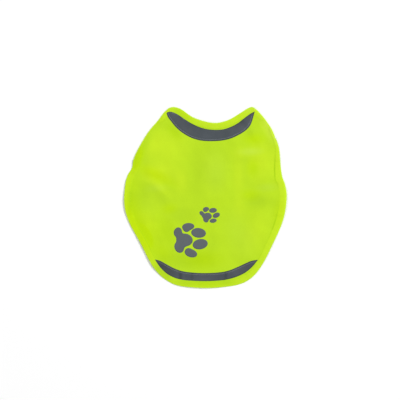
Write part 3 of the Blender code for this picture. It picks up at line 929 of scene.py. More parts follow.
class ClothLayer:
    """One layer of cloth in plan: points and triangles, seen from above."""

    def __init__(self, loop: PlanPath, guides: list[PlanPath], spacing: float = GRID_SPACING) -> None:
        """Fill a closed path with triangles that keep the edges of the guide paths.

        Args:
            loop: The closed outline.
            guides: Paths whose edges the triangles keep.
            spacing: Distance between the free points.
        """
        points = []
        edges = []
        start = 0
        for path in (loop, *guides):
            count = len(path.points)
            points.append(path.points)
            ends = count if path.closed else count - 1
            edges += [(start + k, start + (k + 1) % count) for k in range(ends)]
            start += count
        points.append(self.grid(loop, np.vstack(points), spacing))
        flat = [Vector(point) for point in np.vstack(points)]
        verts, _, faces, origins, _, _ = delaunay_2d_cdt(flat, edges, [], 1, MERGE_GAP)
        self.points = np.array(verts)
        self.faces = np.array([tuple(face) for face in faces])
        self.index = {source: k for k, sources in enumerate(origins) for source in sources}

    @staticmethod
    def grid(loop: PlanPath, fixed: np.ndarray, spacing: float) -> np.ndarray:
        """Evenly staggered points inside the loop, clear of the fixed ones."""
        low = loop.points.min(axis=0)
        high = loop.points.max(axis=0)
        rows = []
        row_step = spacing * GRID_ROW
        for row in range(int((high[1] - low[1]) / row_step) + 1):
            first = low[0] + (row % 2) * spacing / 2.0
            xs = np.arange(first, high[0], spacing)
            rows.append(np.column_stack((xs, np.full(len(xs), low[1] + row * row_step))))
        spots = np.vstack(rows)
        clearance = spacing * GRID_SHARE
        spots = spots[loop.holds(spots)]
        tree = plan_tree(fixed)
        gaps = np.array([tree.find((*spot, 0.0))[2] for spot in spots])
        return spots[gaps > clearance]


@dataclass
class Wall:
    """A thin wall: outer and inner points in pairs, and the triangles of its outer side."""

    outer: np.ndarray = field(default_factory=lambda: np.empty((0, 3)))
    inner: np.ndarray = field(default_factory=lambda: np.empty((0, 3)))
    faces: np.ndarray = field(default_factory=lambda: np.empty((0, 3), dtype=int))
    traits: dict[str, np.ndarray] = field(default_factory=dict)

    def add(self, outer: np.ndarray, inner: np.ndarray, traits: dict[str, np.ndarray]) -> np.ndarray:
        """Add pairs of points.

        Args:
            outer: Points of the outer side, one row each.
            inner: Points of the inner side, one row each.
            traits: Named values of each pair, such as how near it is to the edge.

        Returns:
            The numbers of the new pairs.
        """
        start = len(self.outer)
        self.outer = np.vstack((self.outer, outer))
        self.inner = np.vstack((self.inner, inner))
        for name in dict.fromkeys((*self.traits, *traits)):
            old = self.traits.get(name, np.zeros(start))
            self.traits[name] = np.concatenate((old, traits.get(name, np.zeros(len(outer)))))
        return np.arange(start, len(self.outer))

    def add_faces(self, faces: np.ndarray) -> None:
        """Add triangles of the outer side."""
        self.faces = np.vstack((self.faces, faces))

    def rim(self) -> list[tuple[int, int, int]]:
        """Edges that only one face has, in that face's order, with the face's number."""
        seen = {}
        for number, face in enumerate(self.faces.tolist()):
            for start, end in zip(face, face[1:] + face[:1]):
                seen[(start, end)] = number
        return [(*edge, number) for edge, number in seen.items() if edge[::-1] not in seen]

    def rim_away(self, rim: list[tuple[int, int, int]]) -> dict[int, np.ndarray]:
        """Direction in which the wall's edge looks at each point of its rim."""
        away: dict[int, np.ndarray] = {}
        for start, end, number in rim:
            one, two, three = self.outer[self.faces[number]]
            normal = np.cross(two - one, three - one)
            out = np.cross(self.outer[end] - self.outer[start], normal)
            out = out / np.linalg.norm(out)
            for vertex in (start, end):
                away[vertex] = away.get(vertex, 0.0) + out
        return {vertex: total / np.linalg.norm(total) for vertex, total in away.items()}

    def build(self, name: str, material: Material, bulge: float, steps: int = 3) -> Object:
        """Make the closed piece as a named object.

        Args:
            name: Name of the piece.
            material: Its material.
            bulge: How far its edge is rounded out, in millimetres.
            steps: Rings of points round the edge.

        Returns:
            The object, at the origin, with its place in its mesh.
        """
        count = len(self.outer)
        rim = self.rim()
        away = self.rim_away(rim)
        origin = list(away)
        out = np.array(list(away.values()))
        middle = (self.outer[origin] + self.inner[origin]) / 2.0
        half = (self.outer[origin] - self.inner[origin]) / 2.0
        rings = [{vertex: vertex for vertex in origin}]
        ring_points = []
        for step in range(1, steps + 1):
            turn = math.pi * step / (steps + 1)
            ring_points.append(middle + half * math.cos(turn) + out * bulge * math.sin(turn))
            first = 2 * count + (step - 1) * len(origin)
            rings.append({vertex: first + k for k, vertex in enumerate(origin)})
        rings.append({vertex: vertex + count for vertex in origin})
        faces = self.faces.tolist() + (self.faces[:, ::-1] + count).tolist()
        for upper, lower in zip(rings, rings[1:]):
            for start, end, _ in rim:
                faces.append((upper[end], upper[start], lower[start], lower[end]))
        points = np.vstack((self.outer, self.inner, *ring_points)) * MM
        traits = {
            key: np.concatenate((values, values, *([values[origin]] * steps)))
            for key, values in self.traits.items()
        }
        return made_piece(name, points, faces, material, traits)

    def looking(self, facing: Facing) -> np.ndarray:
        """Which triangles of the outer side look up, or down."""
        one, two, three = (self.outer[self.faces[:, k]] for k in range(3))
        normal = np.cross(two - one, three - one)
        return normal[:, 2] * facing.value > 0.0

    def overlay(self, loop: PlanPath, side: Facing, layer: Facing, build_up: float) -> "Overlay":
        """Take the part of one layer of this wall that lies within a closed path.

        Args:
            loop: The closed path in plan.
            side: On which side of the layer the new wall lies.
            layer: The layer whose outer side looks up, or the one that looks down.
            build_up: Thickness of the new wall.

        Returns:
            The new wall, before it gets its thickness.
        """
        middles = self.outer[self.faces].mean(axis=1)[:, :2]
        chosen = self.faces[loop.holds(middles) & self.looking(layer)]
        used, renumbered = np.unique(chosen, return_inverse=True)
        faces = renumbered.reshape(chosen.shape)
        pair = np.stack((self.outer[used], self.inner[used]))
        heights = pair[:, :, 2]
        pick = heights.argmax(axis=0) if side is Facing.UP else heights.argmin(axis=0)
        base = pair[pick, np.arange(len(used))]
        if layer is Facing.DOWN:
            faces = faces[:, ::-1]
        return Overlay(base, faces, loop, side, build_up)


@dataclass
class Overlay:
    """A thin piece that lies on cloth, made from the cloth's own points."""

    base: np.ndarray
    faces: np.ndarray
    loop: PlanPath
    side: Facing
    build_up: float
    edge_share: float = 0.55
    edge_width: float = 0.8

    def wall(self, groove: np.ndarray | float = 0.0, traits: dict[str, np.ndarray] | None = None) -> Wall:
        """Give the piece its thickness.

        Args:
            groove: Depth of a sewn groove at each point, or one depth for all.
            traits: Named values of each point for the material, or None.

        Returns:
            The wall, its outer side up.
        """
        depth = np.maximum(self.loop.depth(self.base[:, :2]), 0.0)
        share = self.edge_share + (1.0 - self.edge_share) * ease(depth / self.edge_width)
        rise = self.build_up * share - groove
        up = np.zeros_like(self.base)
        up[:, 2] = self.side.value
        near = self.base + up * LAY_GAP
        far = near + up * rise[:, None]
        outer, inner = (far, near) if self.side is Facing.UP else (near, far)
        result = Wall()
        result.add(outer, inner, {"edge_depth": depth, **(traits or {})})
        result.add_faces(self.faces)
        return result


def placed(name: str, data: ID) -> Object:
    """A new object of that data, linked to the scene."""
    made = bpy.data.objects.new(name, data)
    bpy.context.scene.collection.objects.link(made)
    return made


def made_piece(
    name: str,
    points: np.ndarray,
    faces: list,
    material: Material,
    traits: dict[str, np.ndarray],
) -> Object:
    """Make a smooth object from points in metres.

    Args:
        name: Name of the piece.
        points: Its points, one row each.
        faces: Its faces, as numbers of points.
        material: Its material.
        traits: Named values of each point for the material.

    Returns:
        The new object, linked to the scene.
    """
    mesh = bpy.data.meshes.new(name)
    mesh.from_pydata(points.tolist(), [], faces)
    for key, values in traits.items():
        mesh.attributes.new(key, "FLOAT", "POINT").data.foreach_set("value", values.astype(np.float32))
    form = bmesh.new()
    form.from_mesh(mesh)
    loose = [vertex for vertex in form.verts if not vertex.link_faces]
    bmesh.ops.delete(form, geom=loose, context="VERTS")
    form.to_mesh(mesh)
    form.free()
    mesh.shade_smooth()
    mesh.set_sharp_from_angle(angle=SHARP_ANGLE)
    mesh.materials.append(material)
    return placed(name, mesh)


class TreeBuilder:
    """Adds nodes to one node tree and joins them."""

    def __init__(self, tree: NodeTree) -> None:
        """Keep the tree."""
        self.tree = tree

    def node(self, kind: str, inputs: dict | None = None, **settings: object) -> Node:
        """Add one node.

        Args:
            kind: The node's type.
            inputs: Values or sockets for its inputs, by name or number.
            settings: Its other properties.

        Returns:
            The new node.
        """
        made = self.tree.nodes.new(kind)
        for key, value in settings.items():
            setattr(made, key, value)
        self.feed(made, inputs or {})
        return made

    def feed(self, made: Node, inputs: dict) -> None:
        """Give a node's inputs their values, or join them to sockets."""
        for key, value in inputs.items():
            if isinstance(value, NodeSocket):
                self.tree.links.new(value, made.inputs[key])
            else:
                made.inputs[key].default_value = value

    def math(self, operation: str, *values: object) -> NodeSocket:
        """The result of a Math node."""
        made = self.node("ShaderNodeMath", dict(enumerate(values)), operation=operation)
        return made.outputs[0]

    def mixed(self, share: object, one: object, two: object, mode: str = "MIX") -> NodeSocket:
        """A colour between two others, or blended in another mode."""
        inputs = {"Factor": share, 6: one, 7: two}
        return self.node("ShaderNodeMix", inputs, data_type="RGBA", blend_type=mode).outputs[2]

    def tinted(self, share: object, colour: object, tint: object) -> NodeSocket:
        """A colour multiplied by a tint, by a share."""
        return self.mixed(share, colour, tint, "MULTIPLY")

    def ranged(
        self, value: object, low: float, high: float, to_low: float = 0.0, to_high: float = 1.0
    ) -> NodeSocket:
        """A value moved from one range to another, clamped."""
        inputs = {"Value": value, "From Min": low, "From Max": high, "To Min": to_low, "To Max": to_high}
        return self.node("ShaderNodeMapRange", inputs).outputs[0]


class ShaderEffects:
    """Node groups for the effects that several materials share, each built once."""

    ZIGZAG = 0.2
    COURSE_RELIEF = 0.18
    KNIT_TOP = 1.1

    def __init__(self) -> None:
        """Build the groups."""
        self.knit = self.knit_group()
        self.mottle = self.noise_group("mottle", 2.5, 0.2)
        self.fibre = self.noise_group("fibre_grain", 2.0, 0.15)

    @staticmethod
    def new_group(name: str, **sizes: float) -> tuple[TreeBuilder, NodeOutputs]:
        """Start a shader group with a vector input and named sizes.

        Args:
            name: Name of the group.
            sizes: The default of each size.

        Returns:
            A builder for the group, and the sockets of its inputs.
        """
        group = bpy.data.node_groups.new(name, "ShaderNodeTree")
        group.interface.new_socket("Vector", in_out="INPUT", socket_type="NodeSocketVector")
        for key, default in sizes.items():
            socket = group.interface.new_socket(key, in_out="INPUT", socket_type="NodeSocketFloat")
            socket.default_value = default
        builder = TreeBuilder(group)
        return builder, builder.node("NodeGroupInput").outputs

    @staticmethod
    def give(build: TreeBuilder, **results: NodeSocket) -> NodeTree:
        """Join the named results to the outputs of a group, and hand the group back."""
        for key in results:
            build.tree.interface.new_socket(key, in_out="OUTPUT", socket_type="NodeSocketFloat")
        build.node("NodeGroupOutput", results)
        return build.tree

    def knit_group(self) -> NodeTree:
        """Fine knitted wales that zigzag: their height, and a tone from that height for painted shade in
        their gaps.
        """
        build, given = self.new_group("knit", Wale=0.0009, Course=0.0008)
        parts = build.node("ShaderNodeSeparateXYZ", {0: given["Vector"]})
        across = build.math("DIVIDE", parts.outputs["X"], given["Wale"])
        along = build.math("DIVIDE", parts.outputs["Y"], given["Course"])
        wave = build.math("SINE", build.math("MULTIPLY", along, 2.0 * math.pi))
        shifted = build.math("MULTIPLY_ADD", wave, self.ZIGZAG, across)
        rib = build.math("ABSOLUTE", build.math("SINE", build.math("MULTIPLY", shifted, math.pi)))
        height = build.math("MULTIPLY_ADD", wave, self.COURSE_RELIEF, rib)
        return self.give(build, Height=height, Tone=build.ranged(height, 0.0, self.KNIT_TOP))

    def noise_group(self, name: str, detail: float, spread: float) -> NodeTree:
        """Make noise for fine grain or for broad soft patches: its height and tone.

        Args:
            name: Name of the group.
            detail: How many finer layers it has.
            spread: How far from the middle of the noise its tone reaches 0 and 1.

        Returns:
            The group.
        """
        build, given = self.new_group(name, Scale=1.0)
        noise_inputs = {"Vector": given["Vector"], "Scale": given["Scale"], "Detail": detail}
        noise = build.node("ShaderNodeTexNoise", noise_inputs).outputs[0]
        return self.give(build, Height=noise, Tone=build.ranged(noise, 0.5 - spread, 0.5 + spread))


class Finish:
    """A material that is made once.

    Each kind gives the scale of its grain, the range of its roughness, the strength of its relief
    with its height in metres, and the plain values of its shader.
    """

    name: str
    GRAIN = 1500.0
    ROUGH: tuple[float, float]
    RELIEF: tuple[float, float]
    PLAIN: dict[str, float | tuple]

    def __init__(self, effects: ShaderEffects) -> None:
        """Make the material and feed its shader."""
        self.effects = effects
        self.material = bpy.data.materials.new(self.name)
        self.material.use_nodes = True
        self.build = TreeBuilder(self.material.node_tree)
        self.coords = self.build.node("ShaderNodeTexCoord").outputs["Object"]
        self.grain = self.effect(effects.fibre, Scale=self.GRAIN)
        colour, height = self.dress()
        strength, distance = self.RELIEF
        relief = {"Strength": strength, "Distance": distance, "Height": height}
        fed = {
            "Base Color": colour,
            "Roughness": self.build.ranged(self.grain["Tone"], 0.0, 1.0, *self.ROUGH),
            "Normal": self.build.node("ShaderNodeBump", relief).outputs[0],
        }
        self.build.feed(self.material.node_tree.nodes["Principled BSDF"], {**fed, **self.PLAIN})

    def dress(self) -> tuple[NodeSocket, NodeSocket]:
        """The colour of this finish, and the height of its fine relief."""
        raise NotImplementedError

    def effect(self, group: NodeTree, **values: float) -> NodeOutputs:
        """The outputs of a shared group, placed on the object's own coordinates."""
        made = self.build.node("ShaderNodeGroup")
        made.node_tree = group
        self.build.feed(made, {"Vector": self.coords, **values})
        return made.outputs

    def trait(self, name: str) -> NodeSocket:
        """A value that the mesh holds at each point."""
        return self.build.node("ShaderNodeAttribute", attribute_name=name).outputs["Fac"]


class FluorescentCloth(Finish):
    """Knitted fluorescent yellow-green polyester."""

    name = "fluorescent_cloth"
    ROUGH = (0.74, 0.88)
    RELIEF = (0.4, 0.00012)
    PLAIN = {
        "Specular IOR Level": 0.08,
        "Sheen Weight": 0.08,
        "Sheen Roughness": 0.5,
        "Sheen Tint": (0.75, 1.0, 0.15, 1.0),
    }
    MAIN = (0.488, 0.731, 0.018, 1.0)
    DEEP = (0.468, 0.702, 0.016, 1.0)
    # Colours below: doubled cloth with painted light, painted shade of hollows, a painted rim highlight,
    # painted shade of grooves and knit gaps, and tints for painted sheen and for painted shade with
    # reflected green light
    DOUBLED = (0.561, 0.779, 0.019, 1.0)
    HOLLOW = (0.429, 0.659, 0.016, 1.0)
    RIM = (0.620, 0.880, 0.028, 1.0)
    SEAM = (0.370, 0.620, 0.004, 1.0)
    SHEEN_PALE_TINT = (1.0, 1.0, 2.4, 1.0)
    SHADE_AND_BOUNCE_TINT = (1.0, 1.0, 0.12, 1.0)
    PATCHES = 16.0
    GAP_SHADE_SHARE = 0.16
    FIBRE_RELIEF = 0.35

    def dress(self) -> tuple[NodeSocket, NodeSocket]:
        """The knit with soft patches of tone, and at each point the doubled cloth's tone with painted
        light, shade, sheen and highlight.
        """
        build = self.build
        knit = self.effect(self.effects.knit)
        patches = self.effect(self.effects.mottle, Scale=self.PATCHES)
        colour = build.mixed(patches["Tone"], self.MAIN, self.DEEP)
        # Lighter where the cloth is doubled and where painted light falls, darker with painted shade in the
        # hollows
        colour = build.mixed(self.trait("doubled"), colour, self.DOUBLED)
        colour = build.mixed(self.trait("hollow"), colour, self.HOLLOW)
        # Painted sheen, paler and bluer
        colour = build.tinted(self.trait("pale"), colour, self.SHEEN_PALE_TINT)
        # Painted shade with reflected green light, a deeper and more saturated green
        colour = build.tinted(self.trait("vivid"), colour, self.SHADE_AND_BOUNCE_TINT)
        # Painted highlight along the rim of the cloth
        colour = build.mixed(self.trait("rim"), colour, self.RIM)
        # Painted shade in the sewn groove
        colour = build.mixed(self.trait("seam"), colour, self.SEAM)
        # Painted shade in the gaps between the knit's ribs
        gaps = build.math("MULTIPLY", build.math("SUBTRACT", 1.0, knit["Tone"]), self.GAP_SHADE_SHARE)
        height = build.math("MULTIPLY_ADD", self.grain["Height"], self.FIBRE_RELIEF, knit["Height"])
        return build.mixed(gaps, colour, self.SEAM), height


class ThinFilm(Finish):
    """A thin grey film with a darker cut edge."""

    EDGE: tuple[float, ...]
    EDGE_FADE: tuple[float, ...]

    def edged(self, colour: NodeSocket) -> NodeSocket:
        """The colour with the darker cut edge."""
        share = self.build.ranged(self.trait("edge_depth"), *self.EDGE_FADE)
        return self.build.mixed(share, colour, self.EDGE)


class ReflectiveTape(ThinFilm):
    """Dark grey retroreflective tape with a fine grain of glass beads."""

    name = "reflective_tape"
    GRAIN = 2600.0
    ROUGH = (0.42, 0.58)
    RELIEF = (0.25, 0.00006)
    PLAIN = {"Specular IOR Level": 0.35, "Metallic": 0.15}
    MAIN = (0.0466, 0.059, 0.0665, 1.0)
    LIGHT = (0.0745, 0.087, 0.102, 1.0)
    SHADE = (0.0268, 0.0339, 0.039, 1.0)
    EDGE = (0.030, 0.040, 0.034, 1.0)
    EDGE_FADE = (0.3, 1.6, 0.75, 0.0)
    PATCHES = 22.0
    BEAD_SHARE = 0.25

    def dress(self) -> tuple[NodeSocket, NodeSocket]:
        """The bead grain with soft patches of tone, painted shade at creases and some ends, and the darker
        edge.
        """
        build = self.build
        patches = self.effect(self.effects.mottle, Scale=self.PATCHES)
        colour = build.mixed(patches["Tone"], self.MAIN, self.LIGHT)
        beads = build.math("MULTIPLY", self.grain["Tone"], self.BEAD_SHARE)
        colour = build.mixed(beads, colour, self.LIGHT)
        # Painted shade at creases across the tape and towards some ends
        colour = build.mixed(self.trait("shade"), colour, self.SHADE)
        return self.edged(colour), self.grain["Height"]


class PrintFilm(ThinFilm):
    """Grey film of the paw prints."""

    name = "reflective_print"
    GRAIN = 2200.0
    ROUGH = (0.5, 0.62)
    RELIEF = (0.18, 0.0001)
    PLAIN = {"Specular IOR Level": 0.3}
    MAIN = (0.090, 0.106, 0.114, 1.0)
    LIGHT = (0.106, 0.122, 0.130, 1.0)
    EDGE = (0.080, 0.100, 0.080, 1.0)
    EDGE_FADE = (0.1, 0.7, 0.5, 0.0)

    def dress(self) -> tuple[NodeSocket, NodeSocket]:
        """The film's grain, and the knit beneath it that it follows a little."""
        colour = self.build.mixed(self.grain["Tone"], self.MAIN, self.LIGHT)
        return self.edged(colour), self.effect(self.effects.knit)["Height"]


class Thread(Finish):
    """Twisted sewing thread."""

    name = "cloth_thread"
    GRAIN = 3200.0
    ROUGH = (0.5, 0.66)
    RELIEF = (0.3, 0.00008)
    PLAIN = {"Specular IOR Level": 0.25}
    MAIN = (0.49, 0.76, 0.009, 1.0)
    DARK = (0.40, 0.66, 0.005, 1.0)

    def dress(self) -> tuple[NodeSocket, NodeSocket]:
        """The fine twist of the thread."""
        return self.build.mixed(self.grain["Tone"], self.DARK, self.MAIN), self.grain["Height"]


class TapeThread(Thread):
    """Grey thread on the reflective tape."""

    name = "tape_thread"
    MAIN = (0.270, 0.290, 0.320, 1.0)
    DARK = (0.200, 0.215, 0.245, 1.0)


class ClosureWeave(Finish):
    """Woven ground and pile of the hook and loop patches."""

    name = "hook_and_loop"
    ROUGH = (0.6, 0.85)
    RELIEF = (0.4, 0.0002)
    PLAIN = {"Specular IOR Level": 0.2}
    MAIN = (0.47, 0.72, 0.035, 1.0)
    DARK = (0.36, 0.58, 0.02, 1.0)
    WEAVE = 0.0012

    def dress(self) -> tuple[NodeSocket, NodeSocket]:
        """The coarse ground weave, with painted shade in its gaps."""
        ground = self.effect(self.effects.knit, Wale=self.WEAVE, Course=self.WEAVE)
        # Painted shade in the low gaps of the weave
        return self.build.mixed(ground["Tone"], self.DARK, self.MAIN), ground["Height"]


class GrowthTree:
    """A geometry tree that sets one small bent thread at many places."""

    name: str
    inputs: tuple[str, ...]
    KINDS = {
        "Geometry": "NodeSocketGeometry",
        "Seed": "NodeSocketInt",
        "Material": "NodeSocketMaterial",
    }
    ARC_STEPS = 5

    def __init__(self) -> None:
        """Build the tree, with named inputs for its sizes."""
        self.tree = bpy.data.node_groups.new(self.name, "GeometryNodeTree")
        face = self.tree.interface
        for key in ("Geometry", *self.inputs, "Material"):
            kind = self.KINDS.get(key, "NodeSocketFloat")
            face.new_socket(key, in_out="INPUT", socket_type=kind)
        face.new_socket("Geometry", in_out="OUTPUT", socket_type=self.KINDS["Geometry"])
        self.build = TreeBuilder(self.tree)
        self.given = self.build.node("NodeGroupInput").outputs
        self.grow()

    @classmethod
    def shared(cls) -> NodeTree:
        """The tree of this kind, built the first time that it is asked for."""
        return bpy.data.node_groups.get(cls.name) or cls().tree

    def grow(self) -> None:
        """Set up the thread and its places."""
        raise NotImplementedError

    def thread(self, places: tuple[dict, dict, dict], radius: str, sides: int) -> NodeSocket:
        """Bend a thread through three places.

        Args:
            places: The start, the middle and the end, each by its coordinates that aren't 0.
            radius: Name of the input for the thread's radius.
            sides: How many sides the thread has.

        Returns:
            The thread's closed mesh.
        """
        ends = [self.build.node("ShaderNodeCombineXYZ", place).outputs[0] for place in places]
        arc_inputs = {"Resolution": self.ARC_STEPS, **dict(zip(("Start", "Middle", "End"), ends))}
        arc = self.build.node("GeometryNodeCurveQuadraticBezier", arc_inputs)
        ring_inputs = {"Resolution": sides, "Radius": self.given[radius]}
        ring = self.build.node("GeometryNodeCurvePrimitiveCircle", ring_inputs)
        mesh_inputs = {"Curve": arc.outputs[0], "Profile Curve": ring.outputs[0], "Fill Caps": True}
        return self.build.node("GeometryNodeCurveToMesh", mesh_inputs).outputs[0]

    def spread(self, points: object, thread: object, rotation: object) -> None:
        """Set the thread on each point, as real smooth faces of the given material."""
        inputs = {"Points": points, "Instance": thread, "Rotation": rotation}
        shape = self.build.node("GeometryNodeInstanceOnPoints", inputs)
        for kind in ("GeometryNodeRealizeInstances", "GeometryNodeSetShadeSmooth"):
            shape = self.build.node(kind, {0: shape.outputs[0]})
        dress = {"Geometry": shape.outputs[0], "Material": self.given["Material"]}
        dressed = self.build.node("GeometryNodeSetMaterial", dress)
        self.build.node("NodeGroupOutput", {0: dressed.outputs[0]})


class StitchTree(GrowthTree):
    """Geometry nodes that lay thread stitches along a line of mesh edges."""

    name = "stitch_row"
    inputs = ("Pitch", "Length", "Thread Radius", "Rise", "Depth")
    SIDES = 6

    def grow(self) -> None:
        """Lay a stitch at each step along the line, turned to follow it."""
        build = self.build
        given = self.given
        curve = build.node("GeometryNodeMeshToCurve", {0: given["Geometry"]})
        spacing = {"Curve": curve.outputs[0], "Length": given["Pitch"]}
        spaced = build.node("GeometryNodeResampleCurve", spacing, mode="LENGTH")
        half = build.math("MULTIPLY", given["Length"], 0.5)
        back = build.math("MULTIPLY", half, -1.0)
        sunk = build.math("MULTIPLY", given["Depth"], -1.0)
        places = ({"X": back, "Z": sunk}, {"Z": given["Rise"]}, {"X": half, "Z": sunk})
        stitch = self.thread(places, "Thread Radius", self.SIDES)
        tangent = build.node("GeometryNodeInputTangent")
        turn = build.node("FunctionNodeAlignRotationToVector", {"Vector": tangent.outputs[0]}, axis="X")
        self.spread(spaced.outputs[0], stitch, turn.outputs[0])


class PileTree(GrowthTree):
    """Geometry nodes that stand a small bent bristle on each point of a mesh."""

    name = "closure_pile"
    inputs = ("Reach", "Rise", "Bristle Radius", "Spread", "Seed")
    SIDES = 4
    BEND = 2.0
    TIP = 0.15

    def grow(self) -> None:
        """Stand a bristle on each point, turned by a fixed random angle."""
        build = self.build
        given = self.given
        foot = {"X": build.math("MULTIPLY", given["Reach"], -0.5)}
        bend = {"Z": build.math("MULTIPLY", given["Rise"], self.BEND)}
        tip = {
            "X": build.math("MULTIPLY", given["Reach"], 0.5),
            "Z": build.math("MULTIPLY", given["Rise"], self.TIP),
        }
        bristle = self.thread((foot, bend, tip), "Bristle Radius", self.SIDES)
        least = build.math("MULTIPLY", given["Spread"], -1.0)
        chance = {2: least, 3: given["Spread"], "Seed": given["Seed"]}
        turn = build.node("FunctionNodeRandomValue", chance, data_type="FLOAT")
        angles = build.node("ShaderNodeCombineXYZ", {"Z": turn.outputs[1]})
        self.spread(given["Geometry"], bristle, angles.outputs[0])


def grown(
    name: str,
    points: np.ndarray,
    edges: list[tuple[int, int]],
    tree: NodeTree,
    values: dict[str, object],
) -> Object:
    """Run a geometry tree on a few points and keep its result as a plain mesh.

    Args:
        name: Name of the piece.
        points: Points in millimetres, one row each.
        edges: Pairs of points that are joined.
        tree: The geometry tree.
        values: Its named inputs, in metres.

    Returns:
        The object, with no modifier left on it.
    """
    seed_mesh = bpy.data.meshes.new(name + "_path")
    seed_mesh.from_pydata((points * MM).tolist(), edges, [])
    piece = placed(name, seed_mesh)
    modifier = piece.modifiers.new("grown", "NODES")
    modifier.node_group = tree
    for item in tree.interface.items_tree:
        if item.item_type == "SOCKET" and item.in_out == "INPUT" and item.name in values:
            modifier[item.identifier] = values[item.name]
    depsgraph = bpy.context.evaluated_depsgraph_get()
    result = bpy.data.meshes.new_from_object(piece.evaluated_get(depsgraph))
    piece.modifiers.clear()
    piece.data = result
    bpy.data.meshes.remove(seed_mesh)
    return piece


@dataclass(frozen=True)
class ThreadRow:
    """A row of stitches: its thread and sizes, in millimetres."""

    finish: Finish
    slot: str
    facing: Facing = Facing.UP
    pitch: float = 3.0
    length: float = 2.5
    radius: float = 0.2
    rise: float = 0.34
    depth: float = 0.22

    def sew(self, name: str, lines: list[np.ndarray]) -> Object:
        """Lay the stitches along some lines.

        Args:
            name: Name of the piece.
            lines: Lines of points on the cloth, in millimetres.

        Returns:
            The stitches as one piece.
        """
        points = np.vstack(lines)
        edges = []
        start = 0
        for line in lines:
            edges += [(start + k, start + k + 1) for k in range(len(line) - 1)]
            start += len(line)
        values = {
            "Pitch": self.pitch * MM,
            "Length": self.length * MM,
            "Thread Radius": self.radius * MM,
            "Rise": self.rise * self.facing.value * MM,
            "Depth": self.depth * self.facing.value * MM,
            "Material": self.finish.material,
        }
        piece = grown(name, points, edges, StitchTree.shared(), values)
        settle(piece, self.slot)
        return piece


def settle(piece: Object, slot: str, *nodes: str) -> None:
    """Let a piece ride on the vest, and hide the solids that it stands for."""
    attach(piece, "root")
    if nodes:
        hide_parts(*nodes)
    LOG.info("%s: %d faces", piece.name, len(piece.data.polygons))


